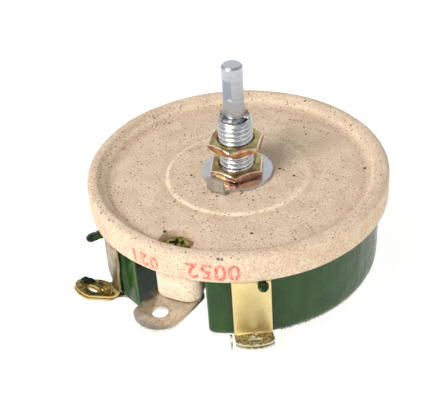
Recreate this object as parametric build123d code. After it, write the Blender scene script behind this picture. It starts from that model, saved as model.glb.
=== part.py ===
from build123d import *
from math import asin, atan2, cos, degrees, radians, sin, sqrt, tan
import os

# Power rheostat: a green enamelled winding ring bonded under a ceramic base disc, wiped by a
# brush on a rotor that turns with the control shaft.
# Millimetres, +Z up along the shaft. The origin lies on the shaft axis, at the seat of the
# locating washer on top of the base. -Y points to the side that carries the terminals.
# Angles are compass style in the XY plane: 0 is +X and 90 is +Y.

# ---------------------------------------------------------------- fits and gaps
RUNNING_FIT = 0.05        # radial clearance of a turning pair
ASSEMBLY_FIT = 0.15       # radial clearance of a screw or rivet in its hole
THREAD_FIT = 0.05         # radial clearance of a nut on its thread
TURN_SEAT = 0.02          # gap between a bare turn and the enamelled core
BRUSH_LIFT = 0.05         # running gap between the brush and the bare turns
STRAP_GAP = 0.20          # gap between a terminal strap and the slot it passes through
OVERRUN = 1.0             # how far a cutter runs past the face that it opens

# ---------------------------------------------------------------- ceramic base disc
BASE_R = 43.5
RIM_TOP_Z = 2.8
RIM_CREST_WIDTH = 2.9     # flat top of the rim
RIM_SLOPE_WIDTH = 3.4     # from the crest down to the floor
FLOOR_Z = -0.4
PLATEAU_R = 20.0          # raised seat round the shaft
PLATEAU_SLOPE_WIDTH = 0.9
BASE_UNDER_Z = -5.75
BASE_EDGE_ROUND = 2.0
UNDER_EDGE_ROUND = 0.5
RIM_CREST_ROUND = 0.9
RIM_FOOT_ROUND = 1.6
PLATEAU_ROUND = 0.4
BORE_EDGE_ROUND = 0.3
HUB_R = 13.0              # hub under the disc that carries the collector eye
HUB_DEPTH = 9.05          # from the underside of the disc to the bottom of the hub and boss
HUB_ROOT_ROUND = 0.8
HUB_EDGE_ROUND = 0.6
FLANGE_POCKET_GAP = 0.8   # round the flange of the bushing
FLANGE_POCKET_DEPTH = 6.5
BOSS_INSET = 0.85         # from the boss to the wall of the base
BOSS_REACH = 12.2         # along the radius
BOSS_SPAN = 18.7          # degrees from side to side
BOSS_RING_MARGIN = 2.1    # degrees from the boss to the right end of the ring
BOSS_CORNER_ROUND = 3.5
SCREW_INSET = 8.65        # from the axis of the terminal screw to the wall of the base
SCREW_ANGLE = 268.2
WELL_GAP = 1.3            # screwdriver well round the head of the terminal screw
WELL_FLOOR_Z = -3.8
STOP_RIB_GAP = 2.2        # from the hub to the rib
STOP_RIB_WIDTH = 3.0
STOP_RIB_DEPTH = 13.5
STOP_MARGIN = 0.5         # degrees left between the stop rib and the rotor's stop lug

# ---------------------------------------------------------------- resistance ring
RING_INSET = 2.6          # outer face of the ring to the wall of the base
RING_THICK = 12.7
RING_TAPER = 0.4          # the outer face is this much smaller at the bottom
RING_HEIGHT = 21.55
RING_CORNER_ROUND = 2.4
RING_TOP_ROUND = 0.8
RING_GAP_HALF_ANGLE = 16.2
RING_GAP_ANGLE = 266.9    # middle of the gap, a little round from the boss
STRAP_SLOT_DEPTH = 1.0

# bare turns of resistance wire along the brush track
TURN_COUNT = 120
TURN_WIDTH = 0.6
TURN_PROUD = 0.35
TRACK_INSET = 2.1         # inner face of the ring to the bare turns
TRACK_WRAP_ANGLE = 42.0   # how far the bare turns climb round the outer corner
TRACK_END_MARGIN = 1.2    # degrees between a strap and the first bare turn

# ---------------------------------------------------------------- end terminals
TERMINAL_MID_ANGLE = 269.15
TERMINAL_HALF_ANGLE = 31.45
STRAP_WIDTH = 10.4
STRAP_THICK = 0.6
STRAP_STANDOFF = 1.3      # strap to ring wall, filled by enamel on the real winding
STRAP_BEND_R = 0.6        # middle line of each bend
STRAP_CORNER_CUT = 1.0    # how far the strap cuts across the outer corner of the ring
LOWER_LAYER_START = 0.4   # from the bend to where the lower layer joins the lug
LUG_LENGTH = 12.8
LUG_RISE = 29.0           # degrees above the horizontal
LUG_ROOT_Z = -24.5
LUG_LAYER_GAP = 0.25
LUG_HOLE_R = 2.0
LUG_HOLE_AT = 7.4         # from the bend to the wiring hole
EYELET_AT = 3.4           # from the bend to the eyelet
EYELET_BORE_R = 1.15
EYELET_WALL = 0.35
EYELET_FLANGE_R = 1.9
EYELET_FLANGE_THICK = 0.35

# winding tags and the cut end of the winding wire
TAG_WIDTH = 3.6
TAG_THICK = 1.1
TAG_LENGTH = 4.6
TAG_FLAT = 1.2            # level part before the droop
TAG_DROOP = 12.0
TAG_OFFSET = 3.0          # from the middle of the strap, on the side away from the gap
TAIL_R = 0.4
TAIL_LENGTH = 4.6
TAIL_DIRECTION = (0.10, -0.22, -1)

# ---------------------------------------------------------------- slider terminal and its screw
SLIDER_THICK = 0.9
SLIDER_EYE_HOLE_R = 8.4
SLIDER_NECK_WIDTH = 9.0
SLIDER_LUG_WIDTH = 13.5
SLIDER_LUG_REACH = 13.1   # from the screw to the wiring hole
SLIDER_LUG_SIDE = 2.4     # middle of the lug from the screw, towards +X
SLIDER_LUG_START = 4.0    # from the screw to the wide part of the lug
SLIDER_LUG_SHOULDER = 2.0 # slope from the neck to the wide part
SLIDER_LUG_TURN = 5.5     # degrees that the lug is set round the screw, towards -X
SLIDER_END_R = 7.5        # arc that closes the lug
SLIDER_END_INSET = 0.55   # centre of that arc behind the wiring hole
SLIDER_HOLE_R = 2.2
SCREW_R = 2.0
SCREW_HEAD_R = 3.5
SCREW_HEAD_HEIGHT = 2.5
SCREW_HEAD_ROUND = 1.0
SCREW_RECESS_WIDTH = 1.0
SCREW_RECESS_SPAN = 4.2
SCREW_RECESS_DEPTH = 1.4
SCREW_END_MARGIN = 1.0
SCREW_END_ROUND = 0.4
LOCK_WASHER_WIDTH = 1.65
LOCK_WASHER_THICK = 0.8
SCREW_NUT_FLATS = 7.0
SCREW_NUT_THICK = 3.0

# ---------------------------------------------------------------- bushing, washer and nuts
BUSHING_R = 5.0
BUSHING_TOP_Z = 18.3
BUSHING_CHAMFER = 0.7
BUSHING_RECESS_WIDTH = 0.85
BUSHING_RECESS_DEPTH = 0.6
BUSHING_FLANGE_WIDTH = 1.8
BUSHING_FLANGE_THICK = 1.8
BUSHING_FLANGE_ROUND = 0.4
WASHER_R = 10.25
WASHER_THICK = 1.0
WASHER_TAB_WIDTH = 5.3
WASHER_TAB_REACH = 12.9   # shaft axis to the outer face of the upturned tab
WASHER_TAB_TOP_Z = 5.2
WASHER_TAB_ANGLE = 267.0
WASHER_TAB_ROOT_R = 7.2   # where the tab and its web start, inside the washer
WASHER_BEND_R = 1.5
WASHER_THROAT_R = 1.4     # hollow corners beside the root of the tab
NUT_FLATS = 14.6
NUT_THICK = 2.7
NUT_CHAMFER_ANGLE = 30.0
PANEL_GAP = 5.6           # between the nuts, where a panel is clamped
LOWER_NUT_ANGLE = 292.0   # direction of one corner
UPPER_NUT_ANGLE = 284.0

# ---------------------------------------------------------------- shaft and its retaining ring
SHAFT_R = 3.0
SHAFT_TOP_Z = 35.1
SHAFT_CHAMFER = 0.5
SHAFT_TAIL = 1.2          # below the rotor hub
SHAFT_TAIL_ROUND = 0.4
FLAT_BOTTOM_Z = 25.3
FLAT_TOP_Z = 31.2
FLAT_DEPTH = 0.35
GROOVE_DEPTH = 0.5
GROOVE_HEIGHT = 1.1
CLIP_PROUD = 1.3          # beyond the shaft
CLIP_THICK = 0.9
CLIP_GAP_ANGLE = 60.0     # opening of the C
CLIP_GAP_DIRECTION = 335.0

# ---------------------------------------------------------------- rotor
ARM_ANGLE = 80.0          # direction of the brush at rest
SLIP_RING_WIDTH = 3.6
SLIP_RING_INSET = 0.6     # from the rim of the eye
SLIP_RING_THICK = 0.8
SLIP_TAG_WIDTH = 4.0
SLIP_TAG_DROP = 5.4
SLIP_TAG_BEND_R = 0.6
SPRING_INNER_R = 5.4
SPRING_OUTER_R = 10.6
SPRING_HEIGHT = 0.9
SPRING_THICK = 0.3
ROTOR_HUB_INSET = 1.0     # rotor hub inside the hub of the base
ROTOR_HUB_HEIGHT = 7.6
ROTOR_HUB_ROUND = 0.8
STOP_LUG_OVERLAP = 2.4    # how far the lug reaches across the stop rib
STOP_LUG_HALF_ANGLE = 9.0
STOP_LUG_HEIGHT = 4.8
PIN_R = 1.0
PIN_LENGTH = 23.0
PIN_DROP = 3.4            # from the top of the rotor hub to the cross pin
ARM_WIDTH = 9.0
ARM_THICK = 0.8
ARM_TAIL = 10.2           # behind the shaft
ARM_BEND_AT = 13.4        # from the shaft axis to the first bend
ARM_STEP_MARGIN = 1.6     # the arm has come down this far inside the ring
ARM_BEND_R = 2.0
ARM_TIP_MARGIN = 1.6      # past the brush
ARM_FIT = 0.2             # arm in its channel
ARM_SCREW_AT = 7.4
ARM_SCREW_R = 1.25
ARM_SCREW_HEAD_R = 2.3
ARM_SCREW_HEAD = 1.2
ARM_SCREW_HEAD_ROUND = 0.5
ARM_SCREW_SLOT = 0.6
ARM_SCREW_DEPTH = 5.0
BRUSH_RADIAL = 7.0
BRUSH_WIDTH = 6.0
BRUSH_HEIGHT = 3.4
BRUSH_EDGE_ROUND = 0.8
HOLDER_THICK = 0.5
HOLDER_WALL = 2.2         # height of the clip walls beside the brush
HOLDER_FIT = 0.05
BRUSH_RIVET_R = 0.9
BRUSH_RIVET_HEAD_R = 1.8
BRUSH_RIVET_HEAD = 0.5
BRUSH_RIVET_ROUND = 0.3
BRUSH_RIVET_DEPTH = 1.2
BRAID_R = 0.75
BRAID_LEAD_OUT = 3.0      # straight length at the slip ring
BRAID_LEAD_IN = 4.0       # straight length at the brush
BRAID_BEND_R = 2.5
BRAID_DROP = 0.3          # below the middle of the brush face
BRUSH_STOP_MARGIN = 1.3   # degrees between the brush and a strap at each end of travel

# ---------------------------------------------------------------- heights worked out from the above
HUB_BOTTOM_Z = BASE_UNDER_Z - HUB_DEPTH
STOP_RIB_BOTTOM_Z = BASE_UNDER_Z - STOP_RIB_DEPTH
FLANGE_SEAT_Z = HUB_BOTTOM_Z + FLANGE_POCKET_DEPTH
RING_BOTTOM_Z = BASE_UNDER_Z - RING_HEIGHT
SLIDER_BOTTOM_Z = HUB_BOTTOM_Z - SLIDER_THICK
LOWER_NUT_Z = WASHER_THICK
UPPER_NUT_Z = LOWER_NUT_Z + NUT_THICK + PANEL_GAP
GROOVE_Z = BUSHING_TOP_Z + RUNNING_FIT
SLIP_RING_TOP_Z = SLIDER_BOTTOM_Z - RUNNING_FIT
ROTOR_HUB_TOP_Z = SLIP_RING_TOP_Z - SLIP_RING_THICK - SPRING_HEIGHT
ROTOR_HUB_BOTTOM_Z = ROTOR_HUB_TOP_Z - ROTOR_HUB_HEIGHT
SHAFT_BOTTOM_Z = ROTOR_HUB_BOTTOM_Z - SHAFT_TAIL
PIN_Z = ROTOR_HUB_TOP_Z - PIN_DROP
TURN_BOTTOM_Z = RING_BOTTOM_Z - TURN_PROUD
BRUSH_TOP_Z = TURN_BOTTOM_Z - BRUSH_LIFT
HOLDER_FLOOR_Z = BRUSH_TOP_Z - BRUSH_HEIGHT
ARM_TIP_TOP_Z = HOLDER_FLOOR_Z - HOLDER_THICK
ARM_TIP_Z = ARM_TIP_TOP_Z - ARM_THICK / 2
ARM_HUB_Z = ROTOR_HUB_BOTTOM_Z + ARM_THICK / 2

# ---------------------------------------------------------------- radii and angles worked out
RIM_CREST_R = BASE_R - RIM_CREST_WIDTH
RIM_FOOT_R = RIM_CREST_R - RIM_SLOPE_WIDTH
PLATEAU_FOOT_R = PLATEAU_R + PLATEAU_SLOPE_WIDTH
BOSS_OUTER_R = BASE_R - BOSS_INSET
BOSS_INNER_R = BOSS_OUTER_R - BOSS_REACH
BOSS_ANGLE = RING_GAP_ANGLE + RING_GAP_HALF_ANGLE - BOSS_RING_MARGIN - BOSS_SPAN / 2
SCREW_DISTANCE = BASE_R - SCREW_INSET
SCREW_X = SCREW_DISTANCE * cos(radians(SCREW_ANGLE))
SCREW_Y = SCREW_DISTANCE * sin(radians(SCREW_ANGLE))
WELL_R = SCREW_HEAD_R + WELL_GAP
LOCK_WASHER_R = SCREW_R + ASSEMBLY_FIT + LOCK_WASHER_WIDTH
BUSHING_RECESS_R = SHAFT_R + RUNNING_FIT + BUSHING_RECESS_WIDTH
BUSHING_FLANGE_R = BUSHING_R + BUSHING_FLANGE_WIDTH
FLANGE_POCKET_R = BUSHING_FLANGE_R + FLANGE_POCKET_GAP
GROOVE_R = SHAFT_R - GROOVE_DEPTH
CLIP_OUTER_R = SHAFT_R + CLIP_PROUD
SLIP_RING_OUTER_R = HUB_R - SLIP_RING_INSET
SLIP_RING_INNER_R = SLIP_RING_OUTER_R - SLIP_RING_WIDTH
ROTOR_HUB_R = HUB_R - ROTOR_HUB_INSET
STOP_RIB_INNER_R = HUB_R + STOP_RIB_GAP
STOP_LUG_R = STOP_RIB_INNER_R + STOP_LUG_OVERLAP
RING_OUTER_R = BASE_R - RING_INSET
RING_FOOT_R = RING_OUTER_R - RING_TAPER
RING_INNER_R = RING_OUTER_R - RING_THICK
TRACK_INNER_R = RING_INNER_R + TRACK_INSET
RING_DRAFT = degrees(atan2(RING_OUTER_R - RING_FOOT_R, RING_HEIGHT))
TRACK_OUTER_R = RING_FOOT_R - RING_CORNER_ROUND * tan(radians(45 - RING_DRAFT / 2))
BRUSH_R = (TRACK_INNER_R + TRACK_OUTER_R) / 2
STRAP_OUTER_X = RING_OUTER_R + STRAP_STANDOFF + STRAP_THICK / 2
STRAP_INNER_X = sqrt(RING_INNER_R ** 2 - (STRAP_WIDTH / 2) ** 2) - RUNNING_FIT - STRAP_THICK / 2
STRAP_TOP_Z = BASE_UNDER_Z - STRAP_GAP - STRAP_THICK / 2
STRAP_UNDER_Z = TURN_BOTTOM_Z - STRAP_THICK / 2
LUG_LAYER_STEP = STRAP_THICK + LUG_LAYER_GAP
STRAP_HALF_ANGLE = degrees(asin(STRAP_WIDTH / 2 / TRACK_INNER_R))
BRUSH_HALF_ANGLE = degrees(asin(BRUSH_WIDTH / 2 / TRACK_INNER_R))
TERMINAL_ANGLES = {
    "left": TERMINAL_MID_ANGLE - TERMINAL_HALF_ANGLE,
    "right": TERMINAL_MID_ANGLE + TERMINAL_HALF_ANGLE,
}
TRACK_MID_ANGLE = TERMINAL_MID_ANGLE - 180
TRACK_HALF_ANGLE = 180 - TERMINAL_HALF_ANGLE - STRAP_HALF_ANGLE - TRACK_END_MARGIN
SWEEP_HALF_ANGLE = 180 - TERMINAL_HALF_ANGLE - STRAP_HALF_ANGLE - BRUSH_HALF_ANGLE - BRUSH_STOP_MARGIN
STOP_RIB_HALF_ANGLE = 180 - SWEEP_HALF_ANGLE - STOP_LUG_HALF_ANGLE - STOP_MARGIN
FLAT_ANGLE = ARM_ANGLE + 180


# ---------------------------------------------------------------- helpers
def closed_profile(*corners):
    """Face in the XZ plane from (x, z, round) corners."""
    outline = FilletPolyline(*[(x, z) for x, z, _ in corners],
                             radius=[r for _, _, r in corners], close=True)
    return Plane.XZ * make_face(outline)


def turned(*corners):
    """Solid of revolution about the shaft axis from (radius, z, round) corners."""
    return revolve(closed_profile(*corners), Axis.Z)


def disc(radius, low, high):
    """Cylinder on the shaft axis between two heights."""
    return Pos(0, 0, low) * extrude(Circle(radius), high - low)


def sector_face(inner, outer, middle, half_angle):
    """Flat ring sector in the XY plane, centred on an angle."""
    first, last = middle - half_angle, middle + half_angle
    inner_arc = CenterArc((0, 0), inner, first, 2 * half_angle)
    outer_arc = CenterArc((0, 0), outer, first, 2 * half_angle)
    sides = [Line(arc_in, arc_out) for arc_in, arc_out in
             ((inner_arc @ 0, outer_arc @ 0), (inner_arc @ 1, outer_arc @ 1))]
    return make_face([inner_arc, outer_arc, *sides])


def strip(path, width, thick):
    """Sheet-metal strip whose middle line is a path in the XZ plane."""
    start = Plane(origin=path @ 0, z_dir=path % 0, x_dir=(0, 1, 0))
    return sweep(start * Rectangle(width, thick), path)


def aimed(angle, shape):
    """Turn a shape that was drawn along +X to a direction in plan."""
    return Rot(0, 0, angle) * shape


def hexagon(flats, thick):
    """Nut blank with one corner on +X and both faces chamfered by a cone."""
    corner = flats / 2 / cos(radians(30))
    drop = (corner - flats / 2) * tan(radians(NUT_CHAMFER_ANGLE))
    blank = extrude(RegularPolygon(corner, 6), thick)
    cone = turned((0, 0, 0), (flats / 2, 0, 0), (corner, drop, 0), (corner, thick - drop, 0),
                  (flats / 2, thick, 0), (0, thick, 0))
    return blank & cone


# ---------------------------------------------------------------- ceramic base
def ceramic_base():
    body = turned(
        (BUSHING_R + ASSEMBLY_FIT, 0, BORE_EDGE_ROUND), (PLATEAU_R, 0, PLATEAU_ROUND),
        (PLATEAU_FOOT_R, FLOOR_Z, PLATEAU_ROUND), (RIM_FOOT_R, FLOOR_Z, RIM_FOOT_ROUND),
        (RIM_CREST_R, RIM_TOP_Z, RIM_CREST_ROUND), (BASE_R, RIM_TOP_Z, BASE_EDGE_ROUND),
        (BASE_R, BASE_UNDER_Z, UNDER_EDGE_ROUND), (HUB_R, BASE_UNDER_Z, HUB_ROOT_ROUND),
        (HUB_R, HUB_BOTTOM_Z, HUB_EDGE_ROUND), (FLANGE_POCKET_R, HUB_BOTTOM_Z, 0),
        (FLANGE_POCKET_R, FLANGE_SEAT_Z, 0), (BUSHING_R + ASSEMBLY_FIT, FLANGE_SEAT_Z, 0))
    boss_face = sector_face(BOSS_INNER_R, BOSS_OUTER_R, BOSS_ANGLE, BOSS_SPAN / 2)
    boss_face = fillet(boss_face.vertices(), BOSS_CORNER_ROUND)
    boss = Pos(0, 0, HUB_BOTTOM_Z) * extrude(boss_face, WELL_FLOOR_Z - HUB_BOTTOM_Z)
    rib_face = sector_face(STOP_RIB_INNER_R, STOP_RIB_INNER_R + STOP_RIB_WIDTH,
                           TRACK_MID_ANGLE, STOP_RIB_HALF_ANGLE)
    rib = Pos(0, 0, STOP_RIB_BOTTOM_Z) * extrude(rib_face, WELL_FLOOR_Z - STOP_RIB_BOTTOM_Z)
    well = Pos(SCREW_X, SCREW_Y, 0) * disc(WELL_R, WELL_FLOOR_Z, RIM_TOP_Z)
    screw_hole = Pos(SCREW_X, SCREW_Y, 0) * disc(SCREW_R + ASSEMBLY_FIT, HUB_BOTTOM_Z, RIM_TOP_Z)
    return body + boss + rib - well - screw_hole


# ---------------------------------------------------------------- winding
def resistance_ring():
    section = closed_profile(
        (RING_INNER_R, BASE_UNDER_Z, RING_TOP_ROUND), (RING_OUTER_R, BASE_UNDER_Z, RING_TOP_ROUND),
        (RING_FOOT_R, RING_BOTTOM_Z, RING_CORNER_ROUND),
        (RING_INNER_R, RING_BOTTOM_Z, RING_TOP_ROUND))
    start = RING_GAP_ANGLE + RING_GAP_HALF_ANGLE
    ring = revolve(aimed(start, section), Axis.Z, revolution_arc=360 - 2 * RING_GAP_HALF_ANGLE)
    slot = Pos((RING_INNER_R + RING_OUTER_R) / 2, 0, BASE_UNDER_Z) * Box(
        RING_OUTER_R - RING_INNER_R + 2 * OVERRUN, STRAP_WIDTH + 2 * STRAP_GAP, 2 * STRAP_SLOT_DEPTH)
    for angle in TERMINAL_ANGLES.values():
        ring -= aimed(angle, slot)
    return ring


def bare_turn():
    """One bared turn, drawn along +X: flat under the ring and bent up round its outer corner."""
    centre = (TRACK_OUTER_R, RING_BOTTOM_Z + RING_CORNER_ROUND)
    seat_z = RING_BOTTOM_Z - TURN_SEAT
    inside = [Line((TRACK_INNER_R, seat_z), (TRACK_OUTER_R, seat_z)),
              CenterArc(centre, RING_CORNER_ROUND + TURN_SEAT, 270, TRACK_WRAP_ANGLE)]
    outside = [Line((TRACK_INNER_R, TURN_BOTTOM_Z), (TRACK_OUTER_R, TURN_BOTTOM_Z)),
               CenterArc(centre, RING_CORNER_ROUND + TURN_PROUD, 270, TRACK_WRAP_ANGLE)]
    ends = [Line(inside[0] @ 0, outside[0] @ 0), Line(inside[1] @ 1, outside[1] @ 1)]
    profile = Plane.XZ * make_face([*inside, *outside, *ends])
    return extrude(profile, TURN_WIDTH / 2, both=True)


def brush_track():
    turn = bare_turn()
    pitch = 2 * TRACK_HALF_ANGLE / (TURN_COUNT - 1)
    first = TRACK_MID_ANGLE - TRACK_HALF_ANGLE
    return Compound([aimed(first + i * pitch, turn) for i in range(TURN_COUNT)])


# ---------------------------------------------------------------- end terminals
def lug_plane():
    """Middle of the upper lug layer at the bend: X runs out along the lug and Z is its face."""
    rise = radians(LUG_RISE)
    return Plane(origin=(STRAP_OUTER_X, 0, LUG_ROOT_Z), x_dir=(cos(rise), 0, sin(rise)),
                 z_dir=(-sin(rise), 0, cos(rise)))


def lug_point(along, across):
    """Point in the XZ plane at a distance along the lug and above its upper layer."""
    rise = radians(LUG_RISE)
    return (STRAP_OUTER_X + along * cos(rise) - across * sin(rise),
            LUG_ROOT_Z + along * sin(rise) + across * cos(rise))


def terminal_strap():
    """One strip looped round the ring section, its two ends laid together as the lug."""
    corner_start = RING_FOOT_R - RING_CORNER_ROUND + STRAP_CORNER_CUT
    route = Plane.XZ * FilletPolyline(
        lug_point(LUG_LENGTH, 0), lug_point(0, 0), (STRAP_OUTER_X, STRAP_TOP_Z),
        (STRAP_INNER_X, STRAP_TOP_Z), (STRAP_INNER_X, STRAP_UNDER_Z), (corner_start, STRAP_UNDER_Z),
        lug_point(LOWER_LAYER_START, -LUG_LAYER_STEP), lug_point(LUG_LENGTH, -LUG_LAYER_STEP),
        radius=STRAP_BEND_R)
    strap = strip(route, STRAP_WIDTH, STRAP_THICK)
    end_r = STRAP_WIDTH / 2
    tip = Pos(LUG_LENGTH, 0, 0) * Rectangle(2 * end_r, STRAP_WIDTH + 2 * OVERRUN)
    tip -= Pos(LUG_LENGTH - end_r, 0, 0) * Circle(end_r)
    holes = Pos(LUG_HOLE_AT, 0, 0) * Circle(LUG_HOLE_R)
    holes += Pos(EYELET_AT, 0, 0) * Circle(EYELET_BORE_R + EYELET_WALL)
    cutters = lug_plane() * extrude(tip + holes, 2 * LUG_LAYER_STEP, both=True)
    return strap - cutters


def eyelet():
    """Tubular rivet that holds the two lug layers together."""
    top, bottom = STRAP_THICK / 2, -LUG_LAYER_STEP - STRAP_THICK / 2
    neck = EYELET_BORE_R + EYELET_WALL
    ring = turned(
        (EYELET_BORE_R, bottom - EYELET_FLANGE_THICK, 0),
        (EYELET_FLANGE_R, bottom - EYELET_FLANGE_THICK, 0), (EYELET_FLANGE_R, bottom, 0),
        (neck, bottom, 0), (neck, top, 0), (EYELET_FLANGE_R, top, 0),
        (EYELET_FLANGE_R, top + EYELET_FLANGE_THICK, 0), (EYELET_BORE_R, top + EYELET_FLANGE_THICK, 0))
    return lug_plane() * Pos(EYELET_AT, 0, 0) * ring


def winding_tag(side):
    """Enamel-coated tag at the head of a strap, on the side away from the gap."""
    root = STRAP_OUTER_X + STRAP_THICK / 2
    top_z = BASE_UNDER_Z - STRAP_GAP
    middle_z = top_z - TAG_THICK / 2
    drop = (TAG_LENGTH - TAG_FLAT) * tan(radians(TAG_DROOP))
    route = Plane.XZ * Polyline((root, middle_z), (root + TAG_FLAT, middle_z),
                                (root + TAG_LENGTH, middle_z - drop))
    return Pos(0, side * TAG_OFFSET, 0) * strip(route, TAG_WIDTH, TAG_THICK)


def wire_tail():
    """Cut end of the winding wire, left on the gap side of the right terminal."""
    start = Plane(origin=(STRAP_OUTER_X, -STRAP_WIDTH / 2 - TAIL_R, LUG_ROOT_Z),
                  z_dir=TAIL_DIRECTION)
    return start * extrude(Circle(TAIL_R), TAIL_LENGTH)


# ---------------------------------------------------------------- slider terminal
def slider_lug():
    """Outer part of the slider terminal, with the screw at the origin and the lug along -Y."""
    half, neck_half = SLIDER_LUG_WIDTH / 2, SLIDER_NECK_WIDTH / 2
    tip = SLIDER_LUG_REACH + SLIDER_END_R
    start = SLIDER_LUG_START + SLIDER_LUG_SHOULDER
    right, left = SLIDER_LUG_SIDE + half, SLIDER_LUG_SIDE - half
    blank = make_face(Polyline(
        (-neck_half, neck_half), (neck_half, neck_half), (neck_half, -SLIDER_LUG_START), (right, -start),
        (right, -tip), (left, -tip), (left, -start), (-neck_half, -SLIDER_LUG_START), close=True))
    end = Pos(SLIDER_LUG_SIDE, SLIDER_END_INSET - SLIDER_LUG_REACH) * Circle(SLIDER_END_R)
    keep_length = SLIDER_LUG_REACH + neck_half
    keep = Pos(SLIDER_LUG_SIDE, neck_half - keep_length / 2) * Rectangle(4 * SLIDER_END_R, keep_length)
    hole = Pos(SLIDER_LUG_SIDE, -SLIDER_LUG_REACH) * Circle(SLIDER_HOLE_R)
    return (blank & (end + keep)) - hole


def slider_terminal():
    eye = Circle(HUB_R)
    neck = aimed(SCREW_ANGLE, Pos(SCREW_DISTANCE / 2, 0) * Rectangle(SCREW_DISTANCE, SLIDER_NECK_WIDTH))
    lug = Pos(SCREW_X, SCREW_Y) * Rot(0, 0, -SLIDER_LUG_TURN) * slider_lug()
    plan = eye + neck + lug - Circle(SLIDER_EYE_HOLE_R)
    plan -= Pos(SCREW_X, SCREW_Y) * Circle(SCREW_R + ASSEMBLY_FIT)
    return Pos(0, 0, SLIDER_BOTTOM_Z) * extrude(plan, SLIDER_THICK)


def slider_screw():
    """Cross-recessed pan head screw, drawn on the shaft axis and moved to its well."""
    end_z = SLIDER_BOTTOM_Z - LOCK_WASHER_THICK - SCREW_NUT_THICK - SCREW_END_MARGIN
    head_top = WELL_FLOOR_Z + SCREW_HEAD_HEIGHT
    screw = turned(
        (0, head_top, 0), (SCREW_HEAD_R, head_top, SCREW_HEAD_ROUND),
        (SCREW_HEAD_R, WELL_FLOOR_Z, 0), (SCREW_R, WELL_FLOOR_Z, 0), (SCREW_R, end_z, SCREW_END_ROUND),
        (0, end_z, 0))
    slot = Box(SCREW_RECESS_SPAN, SCREW_RECESS_WIDTH, 2 * SCREW_RECESS_DEPTH)
    recess = Pos(0, 0, head_top) * (slot + Rot(0, 0, 90) * slot)
    return Pos(SCREW_X, SCREW_Y, 0) * (screw - recess)


def screw_lock_washer():
    ring = Circle(LOCK_WASHER_R) - Circle(SCREW_R + ASSEMBLY_FIT)
    split = Pos(LOCK_WASHER_R, 0) * Rectangle(2 * LOCK_WASHER_R, LOCK_WASHER_THICK)
    washer = extrude(ring - split, LOCK_WASHER_THICK)
    return Pos(SCREW_X, SCREW_Y, SLIDER_BOTTOM_Z - LOCK_WASHER_THICK) * washer


def screw_nut():
    bore = disc(SCREW_R + THREAD_FIT, -OVERRUN, SCREW_NUT_THICK + OVERRUN)
    nut = hexagon(SCREW_NUT_FLATS, SCREW_NUT_THICK) - bore
    return Pos(SCREW_X, SCREW_Y, SLIDER_BOTTOM_Z - LOCK_WASHER_THICK - SCREW_NUT_THICK) * nut


# ---------------------------------------------------------------- bushing, washer and nuts
def bushing():
    bottom = FLANGE_SEAT_Z - BUSHING_FLANGE_THICK
    bore = SHAFT_R + RUNNING_FIT
    sleeve = turned(
        (bore, bottom, 0), (BUSHING_FLANGE_R, bottom, BUSHING_FLANGE_ROUND),
        (BUSHING_FLANGE_R, FLANGE_SEAT_Z, 0), (BUSHING_R, FLANGE_SEAT_Z, 0), (BUSHING_R, BUSHING_TOP_Z, 0),
        (BUSHING_RECESS_R, BUSHING_TOP_Z, 0),
        (BUSHING_RECESS_R, BUSHING_TOP_Z - BUSHING_RECESS_DEPTH, 0),
        (bore, BUSHING_TOP_Z - BUSHING_RECESS_DEPTH, 0))
    outer_edge = sleeve.edges().filter_by(GeomType.CIRCLE).group_by(Axis.Z)[-1].sort_by(SortBy.RADIUS)[-1]
    return chamfer(outer_edge, BUSHING_CHAMFER)


def locating_washer():
    """Flat washer with one tongue bent up, which stops the base turning in its panel."""
    bore = BUSHING_R + ASSEMBLY_FIT
    tab_x = WASHER_TAB_REACH - WASHER_THICK / 2
    route = Plane.XZ * FilletPolyline((WASHER_TAB_ROOT_R, WASHER_THICK / 2), (tab_x, WASHER_THICK / 2),
                                      (tab_x, WASHER_TAB_TOP_Z), radius=WASHER_BEND_R)
    tab = strip(route, WASHER_TAB_WIDTH, WASHER_THICK)
    throat_x = sqrt(WASHER_R ** 2 - (WASHER_TAB_WIDTH / 2 + WASHER_THROAT_R) ** 2)
    web_end = throat_x + WASHER_THROAT_R
    web_plan = Rectangle(web_end - WASHER_TAB_ROOT_R, WASHER_TAB_WIDTH + 2 * WASHER_THROAT_R)
    web = Pos((WASHER_TAB_ROOT_R + web_end) / 2, 0, 0) * extrude(web_plan, WASHER_THICK)
    for side in (-1, 1):
        centre = Pos(web_end, side * (WASHER_TAB_WIDTH / 2 + WASHER_THROAT_R), 0)
        web -= centre * extrude(Circle(WASHER_THROAT_R), WASHER_THICK)
    washer = disc(WASHER_R, 0, WASHER_THICK) + tab + web - disc(bore, -OVERRUN, WASHER_THICK + OVERRUN)
    return aimed(WASHER_TAB_ANGLE, washer)


def mounting_nut(angle, bottom):
    nut = hexagon(NUT_FLATS, NUT_THICK) - disc(BUSHING_R + THREAD_FIT, -OVERRUN, NUT_THICK + OVERRUN)
    return Pos(0, 0, bottom) * aimed(angle, nut)


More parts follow.
